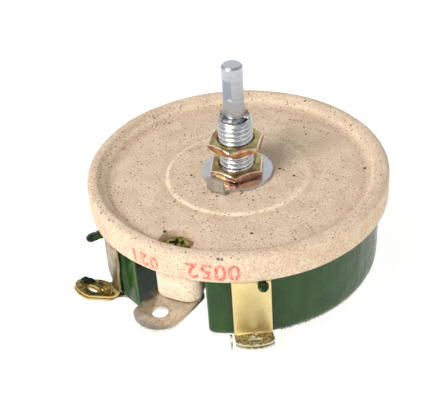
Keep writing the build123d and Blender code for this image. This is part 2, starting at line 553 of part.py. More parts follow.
# ---------------------------------------------------------------- shaft and retaining ring
def control_shaft():
    """Shaft drawn with its flat along +X, square to the cross pin."""
    shaft = turned(
        (0, SHAFT_BOTTOM_Z, 0), (SHAFT_R, SHAFT_BOTTOM_Z, SHAFT_TAIL_ROUND), (SHAFT_R, GROOVE_Z, 0),
        (GROOVE_R, GROOVE_Z, 0), (GROOVE_R, GROOVE_Z + GROOVE_HEIGHT, 0),
        (SHAFT_R, GROOVE_Z + GROOVE_HEIGHT, 0), (SHAFT_R, SHAFT_TOP_Z, 0), (0, SHAFT_TOP_Z, 0))
    top_edge = shaft.edges().filter_by(GeomType.CIRCLE).sort_by(Axis.Z)[-1]
    shaft = chamfer(top_edge, SHAFT_CHAMFER)
    flat = Pos(SHAFT_R, 0, (FLAT_BOTTOM_Z + FLAT_TOP_Z) / 2) * Box(
        2 * FLAT_DEPTH, 2 * SHAFT_R, FLAT_TOP_Z - FLAT_BOTTOM_Z)
    return aimed(FLAT_ANGLE, shaft - flat - aimed(90, pin_bore()))


def pin_bore():
    return Pos(0, 0, PIN_Z) * Rot(0, 90, 0) * Cylinder(PIN_R + RUNNING_FIT / 2, 2 * ROTOR_HUB_R + OVERRUN)


def retaining_ring():
    opening = make_face(Polyline((0, 0), *[(2 * CLIP_OUTER_R * cos(radians(a)), 2 * CLIP_OUTER_R
                                            * sin(radians(a))) for a in (-CLIP_GAP_ANGLE / 2,
                                                                         CLIP_GAP_ANGLE / 2)],
                                 close=True))
    plan = Circle(CLIP_OUTER_R) - Circle(GROOVE_R + RUNNING_FIT) - Rot(0, 0, CLIP_GAP_DIRECTION) * opening
    clip = extrude(plan, CLIP_THICK)
    return Pos(0, 0, GROOVE_Z + (GROOVE_HEIGHT - CLIP_THICK) / 2) * clip


# ---------------------------------------------------------------- rotor
def slip_ring():
    """Brass ring that rubs on the eye of the slider terminal, with a tag for the braid."""
    bottom = SLIP_RING_TOP_Z - SLIP_RING_THICK
    ring = disc(SLIP_RING_OUTER_R, bottom, SLIP_RING_TOP_Z)
    tag_x = ROTOR_HUB_R + RUNNING_FIT + SLIP_RING_THICK
    middle = SLIP_RING_TOP_Z - SLIP_RING_THICK / 2
    route = Plane.XZ * FilletPolyline((SLIP_RING_INNER_R + OVERRUN, middle), (tag_x, middle),
                                      (tag_x, bottom - SLIP_TAG_DROP), radius=SLIP_TAG_BEND_R)
    tag = strip(route, SLIP_TAG_WIDTH, SLIP_RING_THICK)
    return aimed(ARM_ANGLE, ring + tag) - disc(
        SLIP_RING_INNER_R, bottom - OVERRUN, SLIP_RING_TOP_Z + OVERRUN)


def contact_spring():
    """Cupped spring washer that presses the slip ring up against the eye."""
    low, high = ROTOR_HUB_TOP_Z, ROTOR_HUB_TOP_Z + SPRING_HEIGHT
    return turned((SPRING_INNER_R, low, 0), (SPRING_INNER_R, low + SPRING_THICK, 0),
                  (SPRING_OUTER_R, high, 0), (SPRING_OUTER_R, high - SPRING_THICK, 0))


def rotor_hub():
    """Insulating ceramic hub with its stop lug and the channel that keys the arm."""
    body = turned(
        (SHAFT_R + RUNNING_FIT / 2, ROTOR_HUB_TOP_Z, 0), (ROTOR_HUB_R, ROTOR_HUB_TOP_Z, ROTOR_HUB_ROUND),
        (ROTOR_HUB_R, ROTOR_HUB_BOTTOM_Z, ROTOR_HUB_ROUND),
        (SHAFT_R + RUNNING_FIT / 2, ROTOR_HUB_BOTTOM_Z, 0))
    lug_face = sector_face(ROTOR_HUB_R - ROTOR_HUB_ROUND - OVERRUN, STOP_LUG_R, ARM_ANGLE + 180, STOP_LUG_HALF_ANGLE)
    lug = Pos(0, 0, ROTOR_HUB_TOP_Z - STOP_LUG_HEIGHT) * extrude(lug_face, STOP_LUG_HEIGHT)
    channel = Pos(0, 0, ARM_HUB_Z) * Box(3 * ROTOR_HUB_R, ARM_WIDTH + 2 * ARM_FIT, ARM_THICK)
    return body + lug - aimed(ARM_ANGLE, channel + arm_screw_holes()) - aimed(ARM_ANGLE + 90, pin_bore())


def cross_pin():
    pin = Pos(0, 0, PIN_Z) * Rot(0, 90, 0) * Cylinder(PIN_R, PIN_LENGTH)
    return aimed(ARM_ANGLE + 90, pin)


def contact_arm():
    """Spring strip under the hub that steps down below the ring and carries the brush."""
    tip_x = BRUSH_R + BRUSH_RADIAL / 2 + ARM_TIP_MARGIN
    step_end = RING_INNER_R - ARM_STEP_MARGIN
    route = Plane.XZ * FilletPolyline((-ARM_TAIL, ARM_HUB_Z), (ARM_BEND_AT, ARM_HUB_Z),
                                      (step_end, ARM_TIP_Z), (tip_x, ARM_TIP_Z), radius=ARM_BEND_R)
    arm = strip(route, ARM_WIDTH, ARM_THICK)
    shaft_hole = disc(SHAFT_R + ASSEMBLY_FIT, ROTOR_HUB_BOTTOM_Z - OVERRUN, ROTOR_HUB_BOTTOM_Z + OVERRUN)
    rivet_hole = Pos(BRUSH_R, 0, 0) * disc(BRUSH_RIVET_R + RUNNING_FIT, ARM_TIP_Z - OVERRUN,
                                           ARM_TIP_Z + OVERRUN)
    return aimed(ARM_ANGLE, arm - shaft_hole - arm_screw_holes() - rivet_hole)


def arm_screw_holes():
    hole = disc(ARM_SCREW_R + RUNNING_FIT, ROTOR_HUB_BOTTOM_Z - OVERRUN,
                ROTOR_HUB_BOTTOM_Z + ARM_SCREW_DEPTH)
    return Pos(ARM_SCREW_AT, 0, 0) * hole + Pos(-ARM_SCREW_AT, 0, 0) * hole


def arm_screws():
    """Two slotted pan head screws, one on each side of the shaft."""
    low = ROTOR_HUB_BOTTOM_Z - ARM_SCREW_HEAD
    screw = turned((0, low, 0), (ARM_SCREW_HEAD_R, low, ARM_SCREW_HEAD_ROUND),
                   (ARM_SCREW_HEAD_R, ROTOR_HUB_BOTTOM_Z, 0), (ARM_SCREW_R, ROTOR_HUB_BOTTOM_Z, 0),
                   (ARM_SCREW_R, ROTOR_HUB_BOTTOM_Z + ARM_SCREW_DEPTH - RUNNING_FIT, 0),
                   (0, ROTOR_HUB_BOTTOM_Z + ARM_SCREW_DEPTH - RUNNING_FIT, 0))
    screw -= Pos(0, 0, low) * Box(3 * ARM_SCREW_HEAD_R, ARM_SCREW_SLOT, ARM_SCREW_HEAD)
    return Compound([aimed(ARM_ANGLE, Pos(side * ARM_SCREW_AT, 0, 0) * screw) for side in (-1, 1)])


def brush_holder():
    """U-shaped clip whose walls guide the sides of the brush."""
    inner = BRUSH_WIDTH + 2 * HOLDER_FIT
    outer = inner + 2 * HOLDER_THICK
    clip = Pos(BRUSH_R, 0, ARM_TIP_TOP_Z + (HOLDER_THICK + HOLDER_WALL) / 2) * Box(
        BRUSH_RADIAL, outer, HOLDER_THICK + HOLDER_WALL)
    trough = Pos(BRUSH_R, 0, HOLDER_FLOOR_Z + HOLDER_WALL) * Box(2 * BRUSH_RADIAL, inner, 2 * HOLDER_WALL)
    hole = Pos(BRUSH_R, 0, 0) * disc(BRUSH_RIVET_R + RUNNING_FIT, ARM_TIP_Z, HOLDER_FLOOR_Z)
    return aimed(ARM_ANGLE, clip - trough - hole)


def contact_brush():
    block = Pos(BRUSH_R, 0, (HOLDER_FLOOR_Z + BRUSH_TOP_Z) / 2) * Box(BRUSH_RADIAL, BRUSH_WIDTH, BRUSH_HEIGHT)
    rubbing_edges = block.faces().sort_by(Axis.Z)[-1].edges().filter_by(Axis.X)
    block = fillet(rubbing_edges, BRUSH_EDGE_ROUND)
    hole = Pos(BRUSH_R, 0, 0) * disc(BRUSH_RIVET_R + RUNNING_FIT, HOLDER_FLOOR_Z - OVERRUN,
                                     HOLDER_FLOOR_Z + BRUSH_RIVET_DEPTH)
    return aimed(ARM_ANGLE, block - hole)


def brush_rivet():
    arm_under = ARM_TIP_Z - ARM_THICK / 2
    rivet_top = HOLDER_FLOOR_Z + BRUSH_RIVET_DEPTH - RUNNING_FIT
    rivet = turned((0, arm_under - BRUSH_RIVET_HEAD, 0),
                   (BRUSH_RIVET_HEAD_R, arm_under - BRUSH_RIVET_HEAD, BRUSH_RIVET_ROUND),
                   (BRUSH_RIVET_HEAD_R, arm_under, 0), (BRUSH_RIVET_R, arm_under, 0),
                   (BRUSH_RIVET_R, rivet_top, 0), (0, rivet_top, 0))
    return aimed(ARM_ANGLE, Pos(BRUSH_R, 0, 0) * rivet)


def shunt_braid():
    """Copper braid from the tag of the slip ring to the inner face of the brush."""
    tag_x = ROTOR_HUB_R + RUNNING_FIT + SLIP_RING_THICK
    start = (tag_x + SLIP_RING_THICK / 2, SLIP_RING_TOP_Z - SLIP_RING_THICK - SLIP_TAG_DROP + BRAID_R)
    brush_face = (BRUSH_R - BRUSH_RADIAL / 2, HOLDER_FLOOR_Z + BRUSH_HEIGHT / 2 - BRAID_DROP)
    route = Plane.XZ * FilletPolyline(
        start, (start[0] + BRAID_LEAD_OUT, start[1]), (brush_face[0] - BRAID_LEAD_IN, brush_face[1]),
        brush_face, radius=BRAID_BEND_R)
    path_start = Plane(origin=route @ 0, z_dir=route % 0)
    return aimed(ARM_ANGLE, sweep(path_start * Circle(BRAID_R), route))


# ---------------------------------------------------------------- build
def placed_on_terminal(side, shape):
    return aimed(TERMINAL_ANGLES[side], shape)


def build_nodes():
    nodes = {
        "ceramic_base": ceramic_base(),
        "resistance_ring": resistance_ring(),
        "brush_track": brush_track(),
        "wire_tail": placed_on_terminal("right", wire_tail()),
        "slider_terminal": slider_terminal(),
        "slider_screw": slider_screw(),
        "screw_lock_washer": screw_lock_washer(),
        "screw_nut": screw_nut(),
        "bushing": bushing(),
        "locating_washer": locating_washer(),
        "lower_nut": mounting_nut(LOWER_NUT_ANGLE, LOWER_NUT_Z),
        "upper_nut": mounting_nut(UPPER_NUT_ANGLE, UPPER_NUT_Z),
        "control_shaft": control_shaft(),
        "retaining_ring": retaining_ring(),
        "slip_ring": slip_ring(),
        "contact_spring": contact_spring(),
        "rotor_hub": rotor_hub(),
        "cross_pin": cross_pin(),
        "contact_arm": contact_arm(),
        "arm_screws": arm_screws(),
        "brush_holder": brush_holder(),
        "contact_brush": contact_brush(),
        "brush_rivet": brush_rivet(),
        "shunt_braid": shunt_braid(),
    }
    for side, away in (("left", -1), ("right", 1)):
        nodes[f"terminal_strap_{side}"] = placed_on_terminal(side, terminal_strap())
        nodes[f"lug_eyelet_{side}"] = placed_on_terminal(side, eyelet())
        nodes[f"winding_tag_{side}"] = placed_on_terminal(side, winding_tag(away))
    return nodes


os.makedirs("parts", exist_ok=True)
for name, shape in build_nodes().items():
    export_step(shape, f"parts/{name}.step")
    print(f"{name:22s} {shape.volume:10.1f} mm3")
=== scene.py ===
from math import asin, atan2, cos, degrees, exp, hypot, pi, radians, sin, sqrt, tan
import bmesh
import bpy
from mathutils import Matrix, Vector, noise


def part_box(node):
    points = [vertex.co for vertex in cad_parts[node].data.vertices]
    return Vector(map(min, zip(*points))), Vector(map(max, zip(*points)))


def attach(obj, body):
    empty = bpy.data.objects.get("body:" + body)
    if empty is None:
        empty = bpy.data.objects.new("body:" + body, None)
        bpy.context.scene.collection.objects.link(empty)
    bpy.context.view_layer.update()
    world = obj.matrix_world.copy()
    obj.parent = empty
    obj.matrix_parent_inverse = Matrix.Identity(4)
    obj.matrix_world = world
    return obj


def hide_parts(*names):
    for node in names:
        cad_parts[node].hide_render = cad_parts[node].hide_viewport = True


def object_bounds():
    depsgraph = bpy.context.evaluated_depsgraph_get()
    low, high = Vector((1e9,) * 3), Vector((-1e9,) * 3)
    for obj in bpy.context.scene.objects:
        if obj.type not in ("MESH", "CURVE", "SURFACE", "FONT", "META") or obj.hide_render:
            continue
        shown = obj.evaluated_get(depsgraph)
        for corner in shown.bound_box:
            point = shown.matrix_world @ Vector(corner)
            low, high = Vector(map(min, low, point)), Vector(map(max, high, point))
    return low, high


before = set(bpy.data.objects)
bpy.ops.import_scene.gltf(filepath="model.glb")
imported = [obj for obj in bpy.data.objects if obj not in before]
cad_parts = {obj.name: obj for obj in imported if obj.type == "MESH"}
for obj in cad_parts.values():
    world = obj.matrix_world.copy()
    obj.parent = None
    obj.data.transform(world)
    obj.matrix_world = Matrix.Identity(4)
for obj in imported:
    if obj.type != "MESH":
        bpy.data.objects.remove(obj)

# %% [markdown]
# # A power rheostat, dressed in Blender
# The real object is a green enamelled winding cemented under a disc of raw ceramic. A shaft
# comes up through a threaded bushing and turns a brush under the winding.
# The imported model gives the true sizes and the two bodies: the stator, and the rotor that turns
# with the shaft. This file rebuilds the visible pieces with finer meshes and gives each piece,
# new or carried over, a procedural finish.
# It works in millimetres inside every bmesh, because the object is drawn so on paper, and scales
# to metres once, when a piece is finished.

MM = 0.001


def plain_box(corners):
    return [[round(c, 6) for c in corner] for corner in corners]


cad_box = plain_box(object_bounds())
print("CAD box in metres:", cad_box)


def node_box(node):
    """Lowest and highest corner of a CAD node in millimetres."""
    low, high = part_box(node)
    return low / MM, high / MM


def polar(radius, angle, z=0.0):
    """Point at an angle about the shaft axis, in degrees."""
    return Vector((radius * cos(radians(angle)), radius * sin(radians(angle)), z))


# %% [markdown]
# ## Helpers for shapes
# Most of the pieces are turned, bent from strip or cut from plate, so three helpers cover them:
# an outline whose corners are rounded by a vertex bevel, a lathe that spins such an outline,
# and a bender that pulls a wire path sideways into a ribbon and thickens it.
# Cuts are boolean modifiers, because a hole through two bent layers is one cut on the bench too.

# %% Outlines and the lathe
def moved(bm, way):
    bmesh.ops.translate(bm, vec=way, verts=bm.verts)
    return bm


def turned_to(bm, angle, axis="Z"):
    """Turn a shape about an axis through the origin, by degrees."""
    bmesh.ops.rotate(bm, cent=(0, 0, 0), matrix=Matrix.Rotation(radians(angle), 3, axis), verts=bm.verts)
    return bm


def bevelled(bm, geom, offset, segments, affect):
    bmesh.ops.bevel(bm, geom=geom, offset=offset, offset_type="OFFSET", segments=segments, profile=0.5,
                    affect=affect, material=-1)
    return bm


def outward(bm):
    bmesh.ops.recalc_face_normals(bm, faces=bm.faces)
    return bm


def pulled(bm, fresh, way):
    """Move what an extrusion has just made, and turn all faces outward."""
    verts = [item for item in fresh["geom"] if isinstance(item, bmesh.types.BMVert)]
    bmesh.ops.translate(bm, vec=way, verts=verts)
    return outward(bm)


def rounded_wire(corners, closed=True, spacing=None):
    """Wire in the XZ plane from (x, z) or (x, z, round) corners, with points at most about a
    spacing apart. A round is a radius in millimetres."""
    bm = bmesh.new()
    verts = [bm.verts.new((corner[0], 0, corner[1])) for corner in corners]
    for pair in list(zip(verts, verts[1:])) + ([(verts[-1], verts[0])] if closed else []):
        bm.edges.new(pair)
    for vert, corner in zip(verts, corners):
        if len(corner) > 2 and corner[2]:
            ways = [edge.other_vert(vert).co - vert.co for edge in vert.link_edges]
            bevelled(bm, [vert], corner[2] / tan(ways[0].angle(ways[1]) / 2), 5, "VERTICES")
    for edge in list(bm.edges):
        cuts = int(edge.calc_length() / spacing) if spacing else 0
        if cuts:
            bmesh.ops.subdivide_edges(bm, edges=[edge], cuts=cuts)
    return bm


def copy_round(bm, mesh, angles):
    """Add a mesh to the bmesh once for each angle about Z, and let the mesh go."""
    for angle in angles:
        start = len(bm.verts)
        bm.from_mesh(mesh)
        bm.verts.ensure_lookup_table()
        bmesh.ops.rotate(bm, cent=(0, 0, 0), matrix=Matrix.Rotation(angle, 3, "Z"), verts=bm.verts[start:])
    bpy.data.meshes.remove(mesh)
    return bm


def spare_mesh(bm):
    """Mesh of a bmesh that isn't needed any more."""
    mesh = bpy.data.meshes.new("spare")
    bm.to_mesh(mesh)
    bm.free()
    return mesh


def lathe(corners, steps=64, spacing=None, turn=2 * pi):
    """Solid of revolution about Z from a closed outline. One share of the turn is spun and copied
    round, because a spin slows down a lot as its steps grow."""
    shares = next(n for n in (20, 16, 10, 8, 4, 2, 1) if steps % n == 0)
    part = rounded_wire(corners, spacing=spacing)
    bmesh.ops.spin(part, geom=part.verts[:] + part.edges[:], cent=(0, 0, 0), axis=(0, 0, 1), dvec=(0, 0, 0),
                   angle=turn / shares, steps=steps // shares, use_merge=False, use_duplicate=False)
    bm = copy_round(bmesh.new(), spare_mesh(part), [turn * i / shares for i in range(shares)])
    bmesh.ops.remove_doubles(bm, verts=bm.verts, dist=1e-4)
    if turn < 2 * pi - 1e-6:
        bmesh.ops.holes_fill(bm, edges=[e for e in bm.edges if e.is_boundary], sides=0)
    return outward(bm)


def plate(corners, low, high):
    """Prism between two heights from a flat outline of (x, y) or (x, y, round) corners."""
    bm = moved(turned_to(rounded_wire(corners), -90, "X"), (0, 0, low))
    face = bmesh.ops.contextual_create(bm, geom=bm.edges[:])["faces"]
    return pulled(bm, bmesh.ops.extrude_face_region(bm, geom=face), (0, 0, high - low))


def rod(radius, low, high, segments=48, at=(0, 0)):
    """Plain cylinder along Z, mostly used as a cutter."""
    bm = bmesh.new()
    bmesh.ops.create_cone(bm, cap_ends=True, cap_tris=False, segments=segments, radius1=radius,
                          radius2=radius, depth=high - low)
    return moved(bm, (*at, (low + high) / 2))


def ribbon(corners, width, spacing=None):
    """Open strip bent along a path of (x, z, round) corners, as wide as it is along Y."""
    bm = moved(rounded_wire(corners, closed=False, spacing=spacing), (0, -width / 2, 0))
    return pulled(bm, bmesh.ops.extrude_edge_only(bm, edges=bm.edges[:]), (0, width, 0))


def curve_mesh(curve):
    """Shape of a curve or a text as a bmesh. The curve is let go."""
    holder = bpy.data.objects.new("holder", curve)
    bpy.context.scene.collection.objects.link(holder)
    bpy.context.view_layer.update()
    mesh = bpy.data.meshes.new_from_object(holder.evaluated_get(bpy.context.evaluated_depsgraph_get()))
    bpy.data.objects.remove(holder)
    bpy.data.curves.remove(curve)
    return copy_round(bmesh.new(), mesh, [0])


print("outline helpers are ready")


# %% Objects, modifiers and the last touch
def raw_object(name, bm):
    mesh = bpy.data.meshes.new(name)
    bm.to_mesh(mesh)
    bm.free()
    piece = bpy.data.objects.new(name, mesh)
    bpy.context.scene.collection.objects.link(piece)
    return piece


def modified(piece, kind, **settings):
    """Put one modifier on a piece and keep what it makes as the piece's own mesh."""
    step = piece.modifiers.new(kind.lower(), kind)
    for setting, value in settings.items():
        setattr(step, setting, value)
    bpy.context.view_layer.update()
    seen = piece.evaluated_get(bpy.context.evaluated_depsgraph_get())
    mesh = bpy.data.meshes.new_from_object(seen)
    piece.modifiers.clear()
    old, piece.data = piece.data, mesh
    bpy.data.meshes.remove(old)
    mesh.name = piece.name
    return piece


def combine(piece, other, how="DIFFERENCE"):
    """Boolean of a piece with a bmesh that is thrown away afterwards."""
    tool = raw_object("cutting_tool", other)
    modified(piece, "BOOLEAN", operation=how, object=tool, solver="EXACT")
    spare = tool.data
    bpy.data.objects.remove(tool)
    bpy.data.meshes.remove(spare)
    return piece


def thicken(piece, thickness):
    return modified(piece, "SOLIDIFY", thickness=thickness, offset=0, use_even_offset=True)


def break_edges(piece, width, segments=2, angle=50):
    """Round every sharp edge a little, as tumbling, plating or firing does."""
    return modified(piece, "BEVEL", width=width, segments=segments, limit_method="ANGLE",
                    angle_limit=radians(angle), harden_normals=False)


def edit(piece, change):
    """Let a function change the piece's mesh as a bmesh."""
    bm = bmesh.new()
    bm.from_mesh(piece.data)
    change(bm)
    bm.to_mesh(piece.data)
    bm.free()
    return piece


def reshape(piece, move):
    """Move every point by a function of its place and its normal."""
    def change(bm):
        bm.normal_update()
        shifts = [move(v.co, v.normal) for v in bm.verts]
        for vert, shift in zip(bm.verts, shifts):
            vert.co += shift
    return edit(piece, change)


def cleaned(bm):
    bmesh.ops.remove_doubles(bm, verts=bm.verts, dist=1e-5)
    bmesh.ops.dissolve_degenerate(bm, edges=bm.edges, dist=1e-5)
    bmesh.ops.scale(outward(bm), vec=(MM, MM, MM), verts=bm.verts)


def finish(piece, material, body, nodes, crease=32):
    """Scale to metres, shade, and hand the piece to its body, slot and CAD nodes."""
    edit(piece, cleaned)
    piece.data.shade_smooth()
    piece.data.set_sharp_from_angle(angle=radians(crease))
    piece.data.materials.clear()
    piece.data.materials.append(material)
    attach(piece, body)
    if nodes:
        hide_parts(*nodes)
    print(f"{piece.name}: {len(piece.data.polygons)} faces for {', '.join(nodes) or 'no node'}")
    return piece


# %% [markdown]
# ## Helpers for finishes
# Every finish is a Principled shader whose colour, roughness and bump come from noise on object
# coordinates, so a pattern stays on its piece when the piece turns.
# Colours are written as they look on a screen, from 0 to 255, and turned into the linear values
# that the shader wants.

# %% Node helpers
def screen(r, g, b):
    """Linear colour from screen values."""
    return tuple(c / 12.92 if c <= 0.04045 else ((c + 0.055) / 1.055) ** 2.4
                 for c in (r / 255, g / 255, b / 255)) + (1.0,)


class Finish:
    """A material with short calls for the few nodes that the finishes here are made of."""

    def __init__(self, name, colour, roughness, metallic=0.0, **sockets):
        self.material = bpy.data.materials.new(name)
        self.material.use_nodes = True
        self.nodes, self.links = self.material.node_tree.nodes, self.material.node_tree.links
        self.shader = self.nodes["Principled BSDF"]
        self.shader.inputs["Base Color"].default_value = screen(*colour)
        self.shader.inputs["Roughness"].default_value = roughness
        self.shader.inputs["Metallic"].default_value = metallic
        for socket, value in sockets.items():
            self.shader.inputs[socket.replace("_", " ")].default_value = value
        coordinates = self.nodes.new("ShaderNodeTexCoord").outputs
        self.metres, self.normal = coordinates["Object"], coordinates["Normal"]
        self.place = self.stretched(1, 1, 1)

    def node(self, kind, *values, output=0, **settings):
        """New node with its first sockets linked or set, and one of its outputs."""
        made = self.nodes.new("ShaderNode" + kind)
        for setting, value in settings.items():
            setattr(made, setting, value)
        for socket, value in enumerate(values):
            self.put(made, socket, value)
        return made.outputs[output]

    def put(self, node, socket, value):
        if isinstance(value, bpy.types.NodeSocket):
            self.links.new(value, node.inputs[socket])
        else:
            node.inputs[socket].default_value = value

    def stretched(self, x, y, z):
        """Object coordinates in millimetres, squeezed by a factor along each axis."""
        node = self.nodes.new("ShaderNodeMapping")
        node.inputs["Scale"].default_value = (x / MM, y / MM, z / MM)
        self.put(node, "Vector", self.metres)
        return node.outputs["Vector"]

    def noise(self, size, detail=3.0, rough=0.55, at=None, twist=0.0):
        """Noise whose blotches are about this many millimetres across."""
        node = self.nodes.new("ShaderNodeTexNoise")
        for socket, value in (("Scale", 1 / size), ("Detail", detail), ("Roughness", rough),
                              ("Distortion", twist), ("Vector", at or self.place)):
            self.put(node, socket, value)
        return node.outputs["Fac"]

    def ramp(self, value, low, high, start=0.0, end=1.0):
        """Smooth step of a value from low to high."""
        return self.node("MapRange", value, low, high, start, end, interpolation_type="SMOOTHSTEP")

    def sum(self, how, a, b=0.0):
        return self.node("Math", a, b, operation=how)

    def product(self, first, *others):
        for other in others:
            first = self.sum("MULTIPLY", first, other)
        return first

    def mix(self, share, a, b):
        """Blend of two colours, each a socket or a screen colour."""
        node = self.nodes.new("ShaderNodeMix")
        node.data_type = "RGBA"
        self.put(node, 0, share)
        self.put(node, 6, a if isinstance(a, bpy.types.NodeSocket) else screen(*a))
        self.put(node, 7, b if isinstance(b, bpy.types.NodeSocket) else screen(*b))
        return node.outputs[2]

    def cloud(self, a, b, size, low, high, cover=1.0, **how):
        """One colour with another over it where noise of a size is high."""
        return self.mix(self.ramp(self.noise(size, **how), low, high, 0.0, cover), a, b)

    def vector(self, how, a, b=(0, 0, 0)):
        return self.node("VectorMath", a, b, output="Value", operation=how)

    def radius(self):
        """Distance from the shaft axis in millimetres."""
        return self.vector("LENGTH", self.stretched(1, 1, 0))

    def facing_along(self, way=(0, 0, 1)):
        """Cosine between the surface's own normal and a direction of the object, or up."""
        return self.vector("DOT_PRODUCT", self.normal, way)

    def facing_out(self):
        """How far the surface faces straight away from the shaft axis, whichever way round."""
        along = self.vector("DOT_PRODUCT", self.normal, self.stretched(1, 1, 0))
        return self.sum("ABSOLUTE", self.sum("DIVIDE", along, self.radius()))

    def reach_along(self, way=(0, 0, 1)):
        """How far a point lies along a direction of the object, or its height, in millimetres."""
        return self.vector("DOT_PRODUCT", self.place, way)

    def near(self, centre, reach, soft):
        """One inside a ball round a point in millimetres, fading to nothing past its reach."""
        return self.ramp(self.vector("DISTANCE", self.place, centre), reach, reach + soft, 1.0, 0.0)

    def specks(self, cell, radius, share):
        """Mask of small dark grains. Share is the part of the cells that hold one."""
        cells = self.nodes.new("ShaderNodeTexVoronoi")
        cells.inputs["Scale"].default_value = 1 / cell
        self.put(cells, "Vector", self.place)
        chance = self.node("SeparateColor", cells.outputs["Color"])
        size = self.ramp(chance, 1 - share, 1.0, 0.0, radius / cell)
        return self.ramp(self.sum("SUBTRACT", size, cells.outputs["Distance"]), 0.0, 0.12 * radius / cell)

    def coat(self, colour, rough=None, *grains):
        """Put on a colour, a roughness, and bumps one over the other, as (noise, depth in mm)."""
        normal = None
        for height, depth in grains:
            made = self.nodes.new("ShaderNodeBump")
            for socket, value in (("Strength", 1.0), ("Distance", depth * MM), ("Height", height),
                                  ("Normal", normal)):
                if value is not None:
                    self.put(made, socket, value)
            normal = made.outputs["Normal"]
        for socket, value in (("Base Color", colour), ("Roughness", rough), ("Normal", normal)):
            if value is not None:
                self.put(self.shader, socket, value)
        return self.material


print("finish helpers are ready")

# %% [markdown]
# ## Raw ceramic
# The base is unglazed steatite, pressed and fired. Its colour is a warm beige, peppered with
# small iron specks that burn brown in the kiln, and its wall is a little paler and yellower
# than its top. Rings round the rim and the low step are painted highlight and painted shade,
# one of them partly wear, and the parts below the wall are painted lighter, as if lit from the front.
# Specks are Voronoi cells whose radius is cut down by noise, so that few cells show a speck.

# %% Ceramic finish
BASE_LOW, BASE_HIGH = node_box("ceramic_base")
BASE_R, RIM_TOP = (BASE_HIGH.x - BASE_LOW.x) / 2, BASE_HIGH.z
# Rings painted on the top, as (radius, width, strength, tone): at 20.4 mm a lighter band on the step's edge,
# partly wear and partly painted highlight; at 38.7 mm a painted highlight on the rim's inner slope; at 36.9
# mm painted shade at the foot of that slope; at 22.2 mm painted shade at the foot of the step.
PAINTED_LIGHT_RINGS = [(20.4, 0.9, 0.7, (252, 234, 202)), (38.7, 1.0, 0.5, (250, 232, 202)),
                (36.9, 2.2, 0.55, (190, 162, 138)), (22.2, 1.4, 0.3, (196, 168, 142))]
CLAY_SPECKS = [(0.85, 0.30, 0.6, (144, 104, 76), 0.8), (2.0, 0.40, 0.6, (112, 74, 52), 0.85),
               (5.5, 0.56, 0.45, (76, 48, 34), 0.95)]


def ceramic_finish():
    clay = Finish("raw_ceramic", (222, 198, 172), 0.86, Specular_IOR_Level=0.25)
    up = clay.ramp(clay.facing_along(), 0.15, 0.75)
    top = clay.cloud((210, 187, 161), (223, 201, 176), 7.0, 0.35, 0.65)
    wall = clay.cloud((226, 204, 174), (219, 191, 160), 4.0, 0.38, 0.64)
    body = clay.mix(up, wall, top)
    # Each ring is laid over the top's colour, broken up by noise, as painted highlight or painted shade.
    for radius, width, strength, tone in PAINTED_LIGHT_RINGS:
        off = clay.sum("ABSOLUTE", clay.sum("SUBTRACT", clay.radius(), radius))
        painted_light_share = clay.product(clay.ramp(off, 0.2, width, strength, 0.0),
                              clay.ramp(clay.noise(3.0), 0.3, 0.6, 0.3, 1.0), up)
        body = clay.mix(painted_light_share, body, tone)
    # Painted light: everything below the wall's lower edge, the boss's front and the hub, is painted lighter,
    # as if lit from the front.
    body = clay.mix(clay.ramp(clay.reach_along(), -9.0, -6.0, 0.8, 0.0), body, (246, 228, 200))
    scuffs = [clay.near((14.6, -40.7, 2.2), 0.35, 0.35), clay.near((15.5, -40.4, 2.2), 0.3, 0.35)]
    body = clay.mix(clay.product(clay.sum("MAXIMUM", *scuffs), 0.9), body, (60, 48, 42))
    grain = clay.noise(0.5, detail=5.0, rough=0.75)
    body = clay.mix(clay.ramp(grain, 0.50, 0.66, 0.0, 0.75), body, (172, 140, 110))
    body = clay.mix(clay.ramp(grain, 0.34, 0.48, 0.6, 0.0), body, (250, 234, 212))
    strength = clay.ramp(up, 0, 1, 0.4, 1.0)
    for cell, size, share, tone, cover in CLAY_SPECKS:
        mask = clay.product(clay.specks(cell, size, share), cover)
        body = clay.mix(clay.product(mask, strength), body, tone)
    return clay.coat(body, None, (clay.sum("SUBTRACT", 1.0, mask), 0.10), (grain, 0.16))


raw_ceramic = ceramic_finish()
print("ceramic finish:", raw_ceramic.name, "base radius", round(BASE_R, 2))

# %% [markdown]
# ## The ceramic base
# The real base is pressed in one die: disc, rim, plateau, hub, boss and stop rib. Here a lathe
# makes everything that is round about the shaft, and the boss, the rib and the screwdriver well
# are joined or cut by booleans, which leaves one clean solid.
# Pressed clay has no crisp corners, so the points near the edges are eased by smoothing and the
# whole surface is moved by a few hundredths of a millimetre of noise, with small chips on the rim.

# %% Ceramic base
BASE_UNDER, HUB_BOTTOM, RECESS_TOP = -5.75, -14.8, -8.3
BORE_R, RECESS_R, HUB_R = 5.15, 7.6, 13.0
BOSS_INNER, BOSS_OUTER, BOSS_ANGLE, BOSS_HALF, BOSS_ROUND = 30.45, 42.65, 271.65, 9.35, 3.5
RIB_INNER, RIB_OUTER, RIB_SPAN, BACK_ANGLE = 15.2, 18.2, 77.3, 89.15
SCREW, SCREW_ANGLE, SCREW_HOLE_R = Vector((-1.095, -34.833, 0)), 268.2, 2.15
WELL_FLOOR, WELL_R = -3.8, 4.8
CHIPS = [(266, 2.4, 1.5, 0.55), (274, 2.7, 0.9, 0.3), (291, 2.5, 1.0, 0.25), (318, 2.6, 1.2, 0.3),
         (215, 2.5, 1.1, 0.3), (150, 2.6, 1.3, 0.35), (60, 2.5, 1.0, 0.3), (12, 2.6, 1.4, 0.35)]


